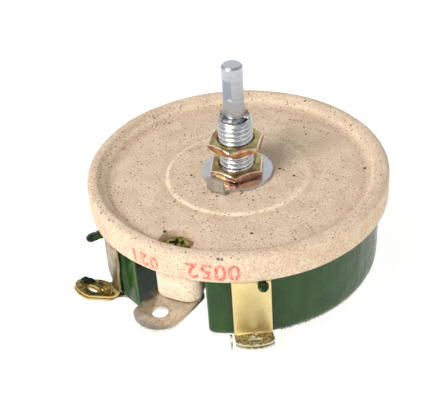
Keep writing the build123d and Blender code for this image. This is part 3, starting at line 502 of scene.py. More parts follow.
def boss_block():
    """Block between two radii with rounded corners, and a softened lower edge."""
    corners = [(BOSS_INNER, -1, BOSS_ROUND), (BOSS_OUTER, -1, BOSS_ROUND), (BOSS_OUTER, -0.25, 0),
               (BOSS_OUTER, 0.25, 0), (BOSS_OUTER, 1, BOSS_ROUND), (BOSS_INNER, 1, BOSS_ROUND)]
    bm = plate([(*polar(radius, share * BOSS_HALF).xy, rounding) for radius, share, rounding in corners],
               HUB_BOTTOM, WELL_FLOOR + 0.2)
    lower = [e for e in bm.edges if all(abs(v.co.z - HUB_BOTTOM) < 1e-4 for v in e.verts)]
    return turned_to(bevelled(bm, lower, 0.6, 3, "EDGES"), BOSS_ANGLE)


def ceramic_body():
    outline = [(BORE_R, 0, 0.3), (20.0, 0, 0.5), (20.9, -0.4, 0.5), (37.2, -0.4, 1.6), (40.6, RIM_TOP, 0.9),
               (BASE_R, RIM_TOP, 1.7), (BASE_R, BASE_UNDER, 0.5), (HUB_R, BASE_UNDER, 0.8),
               (HUB_R, HUB_BOTTOM, 0.6), (RECESS_R, HUB_BOTTOM, 0.3), (RECESS_R, RECESS_TOP),
               (BORE_R, RECESS_TOP)]
    body = raw_object("ceramic_disc", lathe(outline, steps=400, spacing=0.9))
    combine(body, boss_block(), "UNION")
    rib = lathe([(RIB_INNER, BASE_LOW.z, 0.4), (RIB_OUTER, BASE_LOW.z, 0.4), (RIB_OUTER, WELL_FLOOR),
                 (RIB_INNER, WELL_FLOOR)], steps=40, turn=radians(RIB_SPAN))
    combine(body, turned_to(rib, BACK_ANGLE - RIB_SPAN / 2), "UNION")
    for radius, low in ((WELL_R, WELL_FLOOR), (SCREW_HOLE_R, HUB_BOTTOM - 1)):
        combine(body, rod(radius, low, RIM_TOP + 1, segments=72, at=SCREW.xy))
    return body


def soften_well(bm, rounds=3):
    """Ease the mouth of the well, which the boolean leaves knife-sharp."""
    bmesh.ops.triangulate(bm, faces=[f for f in bm.faces if len(f.verts) > 4])
    for _ in range(rounds):
        lip = [v for v in bm.verts
               if abs((v.co.xy - SCREW.xy).length - WELL_R) < 0.7 and v.co.z > WELL_FLOOR + 1.0]
        bmesh.ops.smooth_vert(bm, verts=lip, factor=0.5, use_axis_x=True, use_axis_y=True, use_axis_z=True)


def clay_sag(place):
    """Unevenness of pressed clay, along the normal."""
    return 0.05 * noise.noise(place * 0.12) + 0.035 * noise.noise(place * 0.9) - 0.06


def fired_surface(place, normal):
    """Uneven clay, with chips on the rim as (angle, height, reach, depth)."""
    shift = normal * clay_sag(place)
    for angle, height, reach, depth in CHIPS:
        gap = (place - polar(BASE_R, angle, height)).length / reach
        if gap < 1:
            shift -= normal * depth * (1 - gap * gap) * (0.7 + 0.6 * noise.noise(place * 2.3))
    return shift


base = reshape(edit(ceramic_body(), soften_well), fired_surface)
finish(base, raw_ceramic, "stator", ["ceramic_base"], crease=50)

# %% [markdown]
# ## Vitreous enamel
# The winding is buried in green enamel that was fused on in a furnace. It is glossy, and the
# wires under it show as upright streaks that are lighter where the glass is thin.
# The streaks come from noise that is fine across the wall and long up and down.

# %% Enamel finish
RING_GAP_ANGLE, RING_GAP_HALF = 266.9, 16.2


def enamel_finish(name, thin, thick):
    """Green glass between two tones, with a painted highlight on the rounded corners and painted shade on the
    end faces where the ring stops.
    """
    glass = Finish(name, thick, 0.2, Specular_IOR_Level=0.28)
    body = glass.cloud(thick, thin, 1.5, 0.36, 0.68, at=glass.stretched(1, 1, 0.05))
    body = glass.cloud(body, tuple(0.82 * c for c in thick), 6.0, 0.4, 0.66, 0.6, detail=2.0)
    body = glass.cloud(body, (96, 124, 84), 0.7, 0.64, 0.8, 0.3)
    out = glass.facing_out()
    flat = glass.ramp(glass.sum("ABSOLUTE", glass.facing_along()), 0.4, 0.7, 0.9, 0.0)
    # Painted highlight: a lighter green along the rounded corner at each end of the ring, where the glaze
    # would catch the light.
    lip = glass.product(glass.ramp(out, 0.40, 0.56), glass.ramp(out, 0.80, 0.94, 0.5, 0.0),
                        glass.ramp(glass.reach_along(polar(1, RING_GAP_ANGLE)), 38.3, 38.7), flat)
    body = glass.mix(lip, body, (112, 144, 70))
    # Painted shade: the end faces, which face along the ring, are painted almost black, as they lie in shade.
    end = glass.product(glass.ramp(out, 0.2, 0.5, 1.0, 0.0), flat)
    return glass.coat(glass.mix(end, body, (22, 32, 22)), glass.ramp(glass.noise(2.2), 0.3, 0.7, 0.14, 0.28),
                      (glass.noise(0.55, detail=2.0, at=glass.stretched(1, 1, 0.03)), 0.008),
                      (glass.noise(2.4, detail=2.0), 0.10))


green_enamel = enamel_finish("green_enamel", (40, 75, 22), (33, 66, 18))
dark_enamel = enamel_finish("dark_enamel", (40, 66, 36), (22, 44, 22))
print("enamel finish:", green_enamel.name)

# %% [markdown]
# ## The enamelled ring
# The real ring is a ceramic core wound with resistance wire and dipped in enamel, left open
# between its two ends. A section is spun through the part turn, which leaves two flat ends.
# The turns of wire are a fine ripple in the wall, the enamel sags in soft lumps, and it piles up
# behind each strap, so the wall is pushed out there to meet the brass.

# %% Enamelled ring
RING_LOW, RING_HIGH = node_box("resistance_ring")
RING_OUTER, RING_FOOT, RING_INNER = 40.9, 40.5, 28.2
STRAP_ANGLES = {"left": 237.7, "right": 300.6}
STRAP_WIDTH = 10.4
WIRE_PITCH = 1.17            # degrees from turn to turn


def enamel_ring():
    outline = [(RING_INNER, RING_HIGH.z, 0.8), (RING_OUTER, RING_HIGH.z, 0.8), (RING_FOOT, RING_LOW.z, 2.4),
               (RING_INNER, RING_LOW.z, 0.8)]
    arc = 360 - 2 * RING_GAP_HALF
    ring = lathe(outline, steps=int(arc / WIRE_PITCH) * 4, spacing=1.6, turn=radians(arc))
    return raw_object("enamelled_ring", turned_to(ring, RING_GAP_ANGLE + RING_GAP_HALF))


def apart(angle, other):
    """Degrees between two directions."""
    return abs((angle - other + 180) % 360 - 180)


def share_of(value, whole):
    return min(max(value / whole, 0), 1)


def rounded_off(reach, radius):
    """How far a rounding of some radius has fallen, as a share, this far from where it ends."""
    return 1 - sqrt(reach / radius * (2 - reach / radius))


def enamel_surface(place, normal):
    angle = degrees(atan2(place.y, place.x)) % 360
    radius = hypot(place.x, place.y)
    out = Vector((place.x / radius, place.y / radius, 0))
    ripple = 0.03 * cos(radians(angle / WIRE_PITCH * 360)) * (0.55 + 0.9 * noise.noise(out * 6))
    shift = normal * (ripple - 0.05 + 0.10 * noise.noise(place * 0.22) + 0.04 * noise.noise(place * 1.1))
    reach = radians(max(apart(angle, RING_GAP_ANGLE) - RING_GAP_HALF, 0)) * radius
    if reach < 1.2:
        shift += out * (-0.9 if radius > (RING_INNER + RING_OUTER) / 2 else 0.5) * rounded_off(reach, 1.2)
    above = (place.z - RING_LOW.z) / 2.5
    if reach < 2 and above < 1:
        shift.z += 1.5 * (1 - above) * rounded_off(reach, 2)
    if radius > RING_FOOT - 1.0:
        for strap_angle in STRAP_ANGLES.values():
            inside = STRAP_WIDTH / 2 - 0.1 - radians(apart(angle, strap_angle)) * radius
            shift += out * 1.02 * share_of(inside, 0.8) * share_of(place.z - RING_LOW.z - 1.5, 2)
    shift.z *= min(1, abs(place.z - RING_HIGH.z))
    return shift


finish(reshape(enamel_ring(), enamel_surface), green_enamel, "stator", ["resistance_ring"],
       crease=45)

# %% [markdown]
# ## Bare turns and the cut wire end
# Along the foot of the ring the enamel is ground away so that the brush can touch the wire.
# One turn is a short curve with a round bevel, turned to a mesh, and the rest are copies of it
# at an even pitch. The turns are round wire here, where the CAD node has flat bars.

# %% Plain finishes
def plain_finish(name, tones, span, cloud, grain, rough, metallic=1.0, spots=None, **sockets):
    """Finish whose two tones and roughness follow one noise. Cloud is (size, detail), grain is
    the bump's (size, detail, depth), and spots are (cell, radius, share, cover, tone)."""
    made = Finish(name, tones[0], rough[0], metallic=metallic, **sockets)
    drift = made.noise(cloud[0], detail=cloud[1])
    body = made.mix(made.ramp(drift, *span), *tones)
    if spots:
        body = made.mix(made.product(made.specks(*spots[:3]), spots[3]), body, spots[4])
    return made.coat(body, made.ramp(drift, 0.3, 0.7, *rough),
                     (made.noise(grain[0], detail=grain[1]), grain[2]))


spring_steel = plain_finish("spring_steel", ((196, 197, 196), (120, 118, 114)), (0.4, 0.65), (1.2, 4.0),
                            (0.7, 3.0, 0.02), (0.25, 0.45))
graphite = plain_finish("graphite", ((50, 50, 53), (88, 88, 90)), (0.35, 0.7), (0.8, 5.0),
                        (0.3, 3.0, 0.03), (0.42, 0.62), metallic=0.35)
braid_copper = plain_finish("braid_copper", ((132, 74, 46), (214, 142, 98)), (0.35, 0.65), (0.28, 2.0),
                            (0.28, 2.0, 0.10), (0.32, 0.5))
steatite = plain_finish("white_steatite", ((236, 233, 221), (222, 216, 200)), (0.35, 0.65), (4.0, 3.0),
                        (0.8, 3.0, 0.03), (0.34, 0.52), metallic=0.0, Specular_IOR_Level=0.45,
                        spots=(2.0, 0.2, 0.2, 0.5, (150, 134, 112)))


def wire_finish():
    wire = Finish("resistance_wire", (206, 204, 198), 0.34, metallic=0.85)
    dull = wire.ramp(wire.noise(1.2), 0.45, 0.65)
    return wire.coat(wire.mix(dull, (214, 212, 206), (150, 142, 128)), wire.ramp(dull, 0, 1, 0.28, 0.5))


resistance_wire = wire_finish()
print("plain finishes:", spring_steel.name, graphite.name, braid_copper.name, steatite.name)

# %% Bare turns
TRACK_LOW = node_box("brush_track")[0]
TRACK_HALF, TRACK_START_R, CORNER_R, CORNER_ROUND, TURN_R = 137.4, 30.3, 38.14, 2.4, 0.27


def tube(points, radius, sides=2):
    """Tube along a few points, from a curve with a round bevel."""
    curve = bpy.data.curves.new("tube", "CURVE")
    curve.dimensions, curve.bevel_depth, curve.bevel_resolution = "3D", radius, sides
    curve.use_fill_caps = True
    spline = curve.splines.new("POLY")
    spline.points.add(len(points) - 1)
    for point, place in zip(spline.points, points):
        point.co = (*place, 1)
    bm = curve_mesh(curve)
    bmesh.ops.remove_doubles(bm, verts=bm.verts, dist=1e-4)
    return outward(bm)


def bare_turns():
    under, bend = TRACK_LOW.z + TURN_R, CORNER_ROUND + 0.08
    arc = [(CORNER_R + bend * sin(radians(a)), 0, RING_LOW.z + CORNER_ROUND - bend * cos(radians(a)))
           for a in (8, 20, 31, 41)]
    turn = tube([(TRACK_START_R, 0, under + 0.12), (TRACK_START_R + 0.4, 0, under), (CORNER_R, 0, under),
                 *arc], TURN_R, sides=1)
    angles = [BACK_ANGLE - TRACK_HALF + (i + 0.5) * WIRE_PITCH + 0.12 * noise.noise(Vector((i * 3.7, 0, 0)))
              for i in range(int(2 * TRACK_HALF / WIRE_PITCH))]
    return raw_object("bare_turns", copy_round(bmesh.new(), spare_mesh(turn), [radians(a) for a in angles]))


def cut_wire_end():
    low, high = node_box("wire_tail")
    return raw_object("cut_wire_end", tube([
        (low.x + 0.42, high.y - 0.42, high.z - 0.1), (low.x + 0.6, high.y - 0.7, high.z - 1.6),
        (low.x + 0.8, low.y + 0.7, low.z + 1.4), (high.x - 0.42, low.y + 0.42, low.z + 0.1)], 0.36, sides=3))


for piece, node in ((bare_turns(), "brush_track"), (cut_wire_end(), "wire_tail")):
    finish(piece, resistance_wire, "stator", [node], crease=60)

# %% [markdown]
# ## Terminal straps
# Each end terminal is one brass strip looped round the ring, and its two ends are laid together
# as a lug. The path of the strip is a wire with rounded corners, pulled sideways into a ribbon
# and thickened, so every bend keeps the strip's thickness. The left strap is then drawn in to a
# neck above its lug.
# The lug's round end and its two holes are cut through both layers at once.
# Years in a drawer left the brass pale on its flats and brown where flux and fingers were.

# %% Brass finish
def brass_finish(name, pale, deep, worn, rim, gilt, rough):
    """Brass between two tones. Worn is the share of brown stain on its flats, rim is the tone of
    the lug's edges and sides, a painted highlight, and gilt the colour of its face."""
    brass = Finish(name, pale, rough, metallic=0.85)
    body = brass.cloud(pale, deep, 5.0, 0.35, 0.65)
    stain = brass.noise(1.7, detail=5.0, rough=0.65, twist=0.6)
    body = brass.mix(brass.ramp(stain, 0.60, 0.76, 0.0, worn), body, (140, 104, 60))
    on_lug = brass.ramp(brass.radius(), 43.15, 43.6)
    up = brass.ramp(brass.facing_along(), 0.3, 0.6)
    # Grime and painted reflection: the lug's upper face is darkened in patches, partly grime, partly a
    # painted dark reflection seen at a grazing view.
    grime_and_painted_reflection = brass.product(brass.ramp(brass.noise(0.75, rough=0.6), 0.44, 0.56, 0.95, 0.1), up)
    # Painted highlight: the lug's sides and underside take the rim tone.
    side_on = brass.ramp(up, 0, 1, 0.8, 0.0)
    for share, tone in ((up, gilt), (grime_and_painted_reflection, (80, 78, 42)), (side_on, rim)):
        body = brass.mix(brass.product(on_lug, share), body, tone)
    spots = brass.product(brass.specks(1.5, 0.34, 0.3), brass.ramp(on_lug, 0, 1, 0.2, 0.9))
    return brass.coat(brass.mix(spots, body, (84, 46, 30)), brass.ramp(stain, 0.4, 0.7, rough, rough + 0.15),
                      (brass.noise(0.35, detail=2.0, at=brass.stretched(1, 1, 0.12)), 0.006),
                      (brass.noise(1.6, detail=2.0, at=brass.stretched(0.2, 0.2, 1)), 0.04),
                      (brass.noise(3.4, detail=2.0), 0.08))


BRASS = {"left": brass_finish("tarnished_brass", (168, 152, 120), (126, 108, 78), 0.8, (214, 186, 120),
                              (204, 174, 100), 0.32),
         "right": brass_finish("pale_brass", (232, 214, 158), (226, 205, 143), 0.25, (196, 196, 188),
                               (216, 200, 150), 0.48)}
print("brass finishes:", [material.name for material in BRASS.values()])

# %% Straps and their eyelets
STRAP_X, STRAP_THICK, STRAP_TOP, STRAP_FOOT = 42.5, 0.6, -6.25, 39.1
STRAP_BACK, STRAP_UNDER, STRAP_ROUND = 27.366, -27.95, 0.6
LUG_RISE, LUG_ROOT, LUG_LENGTH, LAYER_STEP = radians(29), -24.5, 12.8, 0.85
BEND_ROUNDS = {"left": 2.4, "right": 0.7}
WIRE_HOLE, EYELET_HOLE = (7.4, 2.0), (3.4, 1.5)      # distance out along the lug, and radius
EYELET_BORE_R, EYELET_LIP_R, EYELET_LIP = 1.15, 1.9, 0.35


def lug_point(along, across, rounding=0.0):
    return (STRAP_X + along * cos(LUG_RISE) - across * sin(LUG_RISE),
            LUG_ROOT + along * sin(LUG_RISE) + across * cos(LUG_RISE), rounding)


def on_lug(bm):
    """Lay a shape drawn at the origin onto the lug, with X out along it."""
    return moved(turned_to(bm, -degrees(LUG_RISE), "Y"), (STRAP_X, 0, LUG_ROOT))


def half_round(centre_x, radius, steps=24):
    return [(centre_x + radius * sin(pi * i / steps), radius * cos(pi * i / steps)) for i in range(steps + 1)]


def ease(value, low, high):
    """Smooth step from 0 to 1 between low and high."""
    share = share_of(value - low, high - low)
    return share * share * (3 - 2 * share)


def draw_in(place, normal):
    """Movement that draws the left strap in to a neck above its bend, and leaves the lug wide.
    The height counts up the upright, and downwards out along the lug."""
    out, up = place.x - STRAP_X, place.z - LUG_ROOT
    height = (up - out * cos(LUG_RISE) - up * sin(LUG_RISE)) / (1 - sin(LUG_RISE))
    below = ease(out * sin(LUG_RISE) - up * cos(LUG_RISE), 0.3, 0.6) * ease(height, -6, 1)
    outer = 0.1 + ease(height, -3.0, 2.2) * (3.0 + 1.8 * exp(-((height - 3.0) / 2) ** 2))
    inner = 1.1 - 1.1 * ease(height, 8, 14) + 3.2 * max(below, ease(-out, 0.5, 3) if up < 2 else 0)
    return Vector((0, (outer - inner) / 2 - place.y * (outer + inner) / STRAP_WIDTH, 0))


def strap(side):
    path = [lug_point(LUG_LENGTH, 0), lug_point(0, 0, BEND_ROUNDS[side]), (STRAP_X, STRAP_TOP, STRAP_ROUND),
            (STRAP_BACK, STRAP_TOP, STRAP_ROUND), (STRAP_BACK, STRAP_UNDER, STRAP_ROUND),
            (STRAP_FOOT, STRAP_UNDER, STRAP_ROUND), lug_point(0.4, -LAYER_STEP, STRAP_ROUND),
            lug_point(LUG_LENGTH, -LAYER_STEP)]
    band = raw_object(f"terminal_band_{side}", ribbon(path, STRAP_WIDTH, spacing=0.8))
    piece = thicken(band, STRAP_THICK)
    if side == "left":
        reshape(piece, draw_in)
    end_r = STRAP_WIDTH / 2
    end_x, past, wide = LUG_LENGTH - end_r, LUG_LENGTH + 2, end_r + 2.8
    combine(piece, on_lug(plate([(end_x, wide), *half_round(end_x, end_r), (end_x, -wide), (past, -wide),
                                 (past, wide)], -2, 1)))
    for along, radius in (WIRE_HOLE, EYELET_HOLE):
        combine(piece, on_lug(rod(radius, -2, 1, at=(along, 0))))
    break_edges(piece, 0.07)
    piece.data.transform(Matrix.Rotation(radians(STRAP_ANGLES[side]), 4, "Z"))
    return finish(piece, BRASS[side], "stator", [f"terminal_strap_{side}"])


def eyelet(side):
    top, bottom = STRAP_THICK / 2, -LAYER_STEP - STRAP_THICK / 2
    along, barrel = EYELET_HOLE
    ring = lathe([(EYELET_BORE_R, bottom - EYELET_LIP, 0.1), (EYELET_LIP_R, bottom - EYELET_LIP, 0.15),
                  (EYELET_LIP_R, bottom), (barrel, bottom), (barrel, top), (EYELET_LIP_R, top),
                  (EYELET_LIP_R, top + EYELET_LIP, 0.2), (EYELET_BORE_R, top + EYELET_LIP, 0.2)], steps=40)
    ring = turned_to(on_lug(moved(ring, (along, 0, 0))), STRAP_ANGLES[side])
    return finish(raw_object(f"rolled_eyelet_{side}", ring), BRASS[side], "stator",
                  [f"lug_eyelet_{side}"])


for side in STRAP_ANGLES:
    strap(side)
    eyelet(side)

# %% [markdown]
# ## Enamel on the terminals
# The winding's ends are tied down under the straps, and the enamel runs over them. A tag of
# enamel-covered metal sticks out beside each strap. It is a short ribbon here, thickened, then
# rounded by subdivision and made lumpy by noise, because a flow of glass has no edges.
# A run of enamel dried on the left lug: a squashed ball, sunk into the lug's upper face.

# %% Winding tags and the enamel drop
TAG_ROOT, TAG_Z, TAG_LEVEL = 42.0, -6.6, 1.8


def tag(side, aside, width, length, thickness, droop):
    """Tag beside a strap, that leaves the ring level and then falls by so many degrees."""
    fall = (length - TAG_LEVEL) * tan(radians(droop))
    path = [(TAG_ROOT, TAG_Z), (TAG_ROOT + TAG_LEVEL, TAG_Z, 0.8), (TAG_ROOT + length + 0.3, TAG_Z - fall)]
    band = raw_object(f"enamelled_tag_{side}", moved(ribbon(path, width), (0, aside, 0)))
    piece = modified(thicken(band, thickness), "SUBSURF", levels=3, render_levels=3)
    reshape(piece, lambda place, normal: normal * 0.3 * noise.noise(place * 0.8))
    piece.data.transform(Matrix.Rotation(radians(STRAP_ANGLES[side]), 4, "Z"))
    return finish(piece, dark_enamel, "stator", [f"winding_tag_{side}"])


def drop(side, along, aside, size):
    """Run of enamel that dried on a lug, as a squashed ball set on its upper face."""
    bm = bmesh.new()
    bmesh.ops.create_icosphere(bm, subdivisions=4, radius=1.0)
    bmesh.ops.scale(bm, vec=size, verts=bm.verts)
    on_lug(moved(bm, (along, aside, STRAP_THICK)))
    piece = raw_object(f"enamel_drop_{side}", turned_to(bm, STRAP_ANGLES[side]))
    reshape(piece, lambda place, normal: normal * 0.35 * noise.noise(place * 0.9))
    return finish(piece, dark_enamel, "stator", [])


tag("left", -4.2, 4.2, 5.2, 1.2, droop=6)
tag("right", 3.0, 3.1, 4.0, 1.5, droop=12)
drop("left", 7.4, -3.9, (2.6, 1.1, 0.8))

# %% [markdown]
# ## Slider terminal
# The middle terminal is a tinned steel strip under the base. Its eye lies round the hub, where
# the slip ring rubs on it, and its lug comes out under the screw.
# The outline is built from a disc, a bar and the lug, each as thick as the strip already, joined by booleans.

# %% Slider terminal
SLIDER_LOW, SLIDER_HIGH = -15.7, -14.8
EYE_OUTER_R, EYE_INNER_R, NECK_HALF, WIRE_HOLE_R = 13.0, 8.4, 4.5, 2.2
LUG_SIDE, LUG_HALF, LUG_HOLE_Y, LUG_END_R, LUG_TURN = 2.4, 6.75, -13.1, 7.5, -5.5


def tinned_finish():
    tin = Finish("tinned_steel", (200, 192, 180), 0.34, metallic=1.0)
    swirl = tin.noise(0.5, at=tin.stretched(1, 0.25, 1), twist=0.4)
    stain = tin.noise(1.9, detail=5.0, rough=0.66, twist=0.5)
    body = tin.cloud((228, 222, 211), (202, 196, 186), 6.0, 0.36, 0.66)
    for share, tone in ((tin.ramp(swirl, 0.4, 0.7, 0.0, 0.5), (166, 154, 138)),
                        (tin.ramp(stain, 0.60, 0.76, 0.0, 0.6), (128, 108, 86)),
                        (tin.product(tin.near((3.4, -38.6, -14.8), 1.4, 2.2), 0.8), (96, 72, 50)),
                        (tin.product(tin.specks(1.5, 0.3, 0.25), 0.7), (92, 78, 64))):
        body = tin.mix(share, body, tone)
    return tin.coat(body, tin.ramp(stain, 0.4, 0.7, 0.28, 0.5), (swirl, 0.01), (tin.noise(1.8), 0.03))


def bar(start, end, half, low, high):
    """Upright block that reaches along X and is equally wide on both sides of it."""
    return plate([(start, -half), (end, -half), (end, half), (start, half)], low, high)


def slider_lug():
    """Lug drawn with the screw at the origin, closed by an arc that leaves two small corners."""
    centre, reach = LUG_HOLE_Y + 0.55, asin(LUG_HALF / LUG_END_R)
    arc = [(LUG_SIDE + LUG_END_R * sin(reach * i / 16), centre - LUG_END_R * cos(reach * i / 16))
           for i in range(16, -17, -1)]
    lug = plate([(-NECK_HALF, NECK_HALF), (NECK_HALF, NECK_HALF), (NECK_HALF, 2.6, 1.5),
                 (LUG_SIDE + LUG_HALF, -1.6, 1.5), *arc, (LUG_SIDE - LUG_HALF, -6.0, 1.0),
                 (-NECK_HALF, -4.0, 1.0)], SLIDER_LOW, SLIDER_HIGH)
    return moved(turned_to(lug, LUG_TURN), SCREW)


def slider_strip():
    piece = raw_object("slider_strip", rod(EYE_OUTER_R, SLIDER_LOW, SLIDER_HIGH, segments=128))
    neck = bar(EYE_INNER_R, SCREW.length, NECK_HALF, SLIDER_LOW, SLIDER_HIGH)
    for part in (turned_to(neck, SCREW_ANGLE), slider_lug()):
        combine(piece, part, "UNION")
    wire_hole = Matrix.Rotation(radians(LUG_TURN), 3, "Z") @ Vector((LUG_SIDE, LUG_HOLE_Y, 0)) + SCREW
    for radius, place in ((WIRE_HOLE_R, wire_hole), (SCREW_HOLE_R, SCREW), (EYE_INNER_R, Vector())):
        combine(piece, rod(radius, SLIDER_LOW - 1, SLIDER_HIGH + 1, segments=64, at=place.xy))
    return break_edges(piece, 0.1)


finish(slider_strip(), tinned_finish(), "stator", ["slider_terminal"])

# %% [markdown]
# ## Screw in the well
# A pan head screw with a cross recess holds the slider terminal. Its head is spun from a domed
# outline and the recess is two crossed bars cut out of it.

# %% Slider screw
SCREW_HEAD_R, SCREW_SHANK_R, CROSS_REACH, CROSS_HALF, CROSS_DEPTH, CROSS_TURN = 3.5, 2.0, 2.1, 0.5, 1.4, 20


def screw_finish():
    brass = Finish("stained_brass", (186, 164, 92), 0.34, metallic=1.0)
    drift = brass.noise(1.1, detail=4.0)
    body = brass.mix(brass.ramp(drift, 0.4, 0.62), (196, 178, 104), (104, 100, 52))
    return brass.coat(brass.cloud(body, (58, 44, 28), 0.7, 0.55, 0.7, 0.8),
                      brass.ramp(drift, 0.3, 0.7, 0.22, 0.5), (brass.noise(0.6), 0.05))


def cross_screw():
    low, high = (corner.z for corner in node_box("slider_screw"))
    head = lathe([(0, high), (SCREW_HEAD_R, high, 1.1), (SCREW_HEAD_R, WELL_FLOOR, 0.1),
                  (SCREW_SHANK_R, WELL_FLOOR, 0.1), (SCREW_SHANK_R, low, 0.4), (0, low)],
                 steps=72, spacing=0.7)
    piece = raw_object("cross_screw", moved(head, SCREW))
    for reach, half in ((CROSS_REACH, CROSS_HALF), (CROSS_HALF, CROSS_REACH)):
        arm = turned_to(bar(-reach, reach, half, high - CROSS_DEPTH, high + 1), CROSS_TURN)
        combine(piece, moved(arm, SCREW))
    return break_edges(piece, 0.06)


finish(cross_screw(), screw_finish(), "stator", ["slider_screw"])

# %% [markdown]
# ## Threaded bushing
# The bushing is steel with a bright zinc plate and a metric thread. A plain sleeve is spun with
# many rings, then each point of its outer wall moves in or out by where it lies on the helix.
# The thread fades out on the top chamfer and at the flange, and the mesh stays one closed solid.

# %% Zinc finish and the bushing
BUSHING_R, BUSHING_TOP, THREAD_PITCH, THREAD_DEPTH = 5.0, 18.3, 1.5, 0.62
SLEEVE_BORE_R, SLEEVE_MOUTH_R, FLANGE_R = 3.05, 3.9, 6.8


def zinc_finish():
    zinc = Finish("bright_zinc", (204, 207, 211), 0.26, metallic=1.0)
    body = zinc.cloud((214, 217, 221), (192, 196, 201), 3.0, 0.38, 0.66, detail=4.0)
    body = zinc.cloud(body, (132, 128, 122), 1.0, 0.64, 0.8, 0.4, detail=4.0)
    # Painted light: faces that look straight up are painted lighter, as the sky would light them.
    level = zinc.ramp(zinc.facing_along(), 0.85, 0.97, 0.0, 0.7)
    return zinc.coat(zinc.mix(level, body, (230, 233, 238)),
                     zinc.ramp(zinc.noise(1.6), 0.35, 0.7, 0.22, 0.36), (zinc.noise(1.2), 0.012))


def bushing_sleeve():
    low = node_box("bushing")[0].z
    return raw_object("threaded_bushing", lathe(
        [(SLEEVE_BORE_R, low, 0.2), (FLANGE_R, low, 0.4), (FLANGE_R, RECESS_TOP, 0.1),
         (BUSHING_R, RECESS_TOP), (BUSHING_R, BUSHING_TOP - 0.7), (BUSHING_R - 0.7, BUSHING_TOP, 0.12),
         (SLEEVE_MOUTH_R, BUSHING_TOP, 0.15), (SLEEVE_MOUTH_R, BUSHING_TOP - 0.6, 0.1),
         (SLEEVE_BORE_R, BUSHING_TOP - 0.6, 0.1)],
        steps=96, spacing=0.14))


def cut_thread(place, normal):
    """Rounded ridges with a narrow valley between them, fading out at the flange."""
    radius = hypot(place.x, place.y)
    if radius < BUSHING_R - 0.45 or place.z < -1 or normal.z > 0.97:
        return Vector()
    turn = place.z / THREAD_PITCH - atan2(place.y, place.x) / (2 * pi)
    from_valley = abs((turn % 1) * 2 - 1)
    depth = min(THREAD_DEPTH * (1 - from_valley) ** 2.2, max(0, radius - (BUSHING_R - THREAD_DEPTH)))
    return Vector((place.x, place.y, 0)) / -radius * depth * min(1, place.z + 1)


bright_zinc = zinc_finish()
finish(reshape(bushing_sleeve(), cut_thread), bright_zinc, "stator", ["bushing"], crease=55)

# %% [markdown]
# ## Mounting nuts
# Two hexagon nuts clamp the panel. Hot-rolled bar is sawn and both faces are turned to a cone,
# so the six corners are cut by a curve. Crossing a hexagonal prism with a spun cone pair gives
# exactly that. The nuts have a yellow chromate over zinc, which shifts from olive to red-brown.

# %% Yellow zinc and the nuts
NUT_FLAT_R, NUT_FACE_R, NUT_THICK, NUT_BORE_R, NUT_MOUTH_R = 7.3, 6.7, 2.7, 5.06, 5.6
NUT_CORNER_R = NUT_FLAT_R / cos(radians(30))


def chromate_finish(name, corner_angle):
    """Iridescent film, with a painted highlight along the rim where the coned faces meet the flats."""
    film = Finish(name, (178, 168, 104), 0.25, metallic=1.0)
    hue, up, out = film.noise(3.6, detail=2.0), film.facing_along(), 0.0
    top = film.mix(film.ramp(hue, 0.38, 0.60), (206, 198, 132), (176, 138, 96))
    top = film.cloud(top, (140, 84, 58), 2.0, 0.55, 0.72, 0.6)
    wall = film.mix(film.ramp(hue, 0.40, 0.58), (220, 190, 132), (184, 126, 100))
    body = film.mix(film.ramp(up, 0.55, 0.9), wall, top)
    for flat in (30, 90, 150):
        reach = film.reach_along(polar(1, corner_angle + flat))
        out = film.sum("MAXIMUM", out, film.sum("ABSOLUTE", reach))
    # Painted highlight: a near-white line on the coned face's edge next to each flat.
    painted_light_share = film.product(film.ramp(out, NUT_FLAT_R - 0.42, NUT_FLAT_R - 0.26), film.ramp(up, 0.25, 0.5))
    body = film.mix(painted_light_share, body, (255, 240, 226))
    return film.coat(film.cloud(body, (84, 60, 40), 0.9, 0.64, 0.78, 0.5, detail=4.0),
                     film.ramp(film.noise(1.3), 0.35, 0.7, 0.2, 0.36), (film.noise(1.4), 0.03))


def hexagon_nut(node, corner_angle):
    low = node_box(node)[0].z
    high, wide = low + NUT_THICK, NUT_CORNER_R + 0.1
    slope = (NUT_CORNER_R - NUT_FACE_R) * tan(radians(30))
    bar_stock = plate([polar(NUT_CORNER_R, 60 * i).xy for i in range(6)], low - 0.5, high + 0.5)
    cones = lathe([(0, low), (NUT_FACE_R, low), (wide, low + slope), (wide, high - slope), (NUT_FACE_R, high),
                   (0, high)], steps=120)
    bore = lathe([(0, low - 1), (NUT_MOUTH_R, low - 1), (NUT_MOUTH_R, low), (NUT_BORE_R, low + 0.5),
                  (NUT_BORE_R, high - 0.5), (NUT_MOUTH_R, high), (NUT_MOUTH_R, high + 1), (0, high + 1)],
                 steps=96)
    piece = raw_object(f"hexagon_{node}", turned_to(bar_stock, corner_angle))
    break_edges(combine(combine(piece, cones, "INTERSECT"), bore), 0.1, angle=22)
    film = chromate_finish(f"yellow_chromate_{node}", corner_angle)
    return finish(piece, film, "stator", [node])


hexagon_nut("lower_nut", 292.0)
hexagon_nut("upper_nut", 284.0)

# %% [markdown]
# ## Shaft and retaining ring
# The shaft is ground bar with a small chamfer, a groove for the ring and a short milled flat
# where a knob's screw bites. It is spun from its outline, and the flat is one boolean cut.
# The ring is stamped from spring steel: a part turn of a small section.

# %% Shaft and retaining ring
GROOVE_LOW, GROOVE_HIGH, GROOVE_R, SHAFT_R, SHAFT_CHAMFER = 18.35, 19.45, 2.5, 3.0, 0.5
FLAT_ANGLE, FLAT_SPAN, FLAT_R = 260.0, (25.3, 31.2), 2.65
SNAP_INNER_R, SNAP_OUTER_R, SNAP_GAP_ANGLE, SNAP_GAP_HALF = 2.56, 4.28, 335, 30


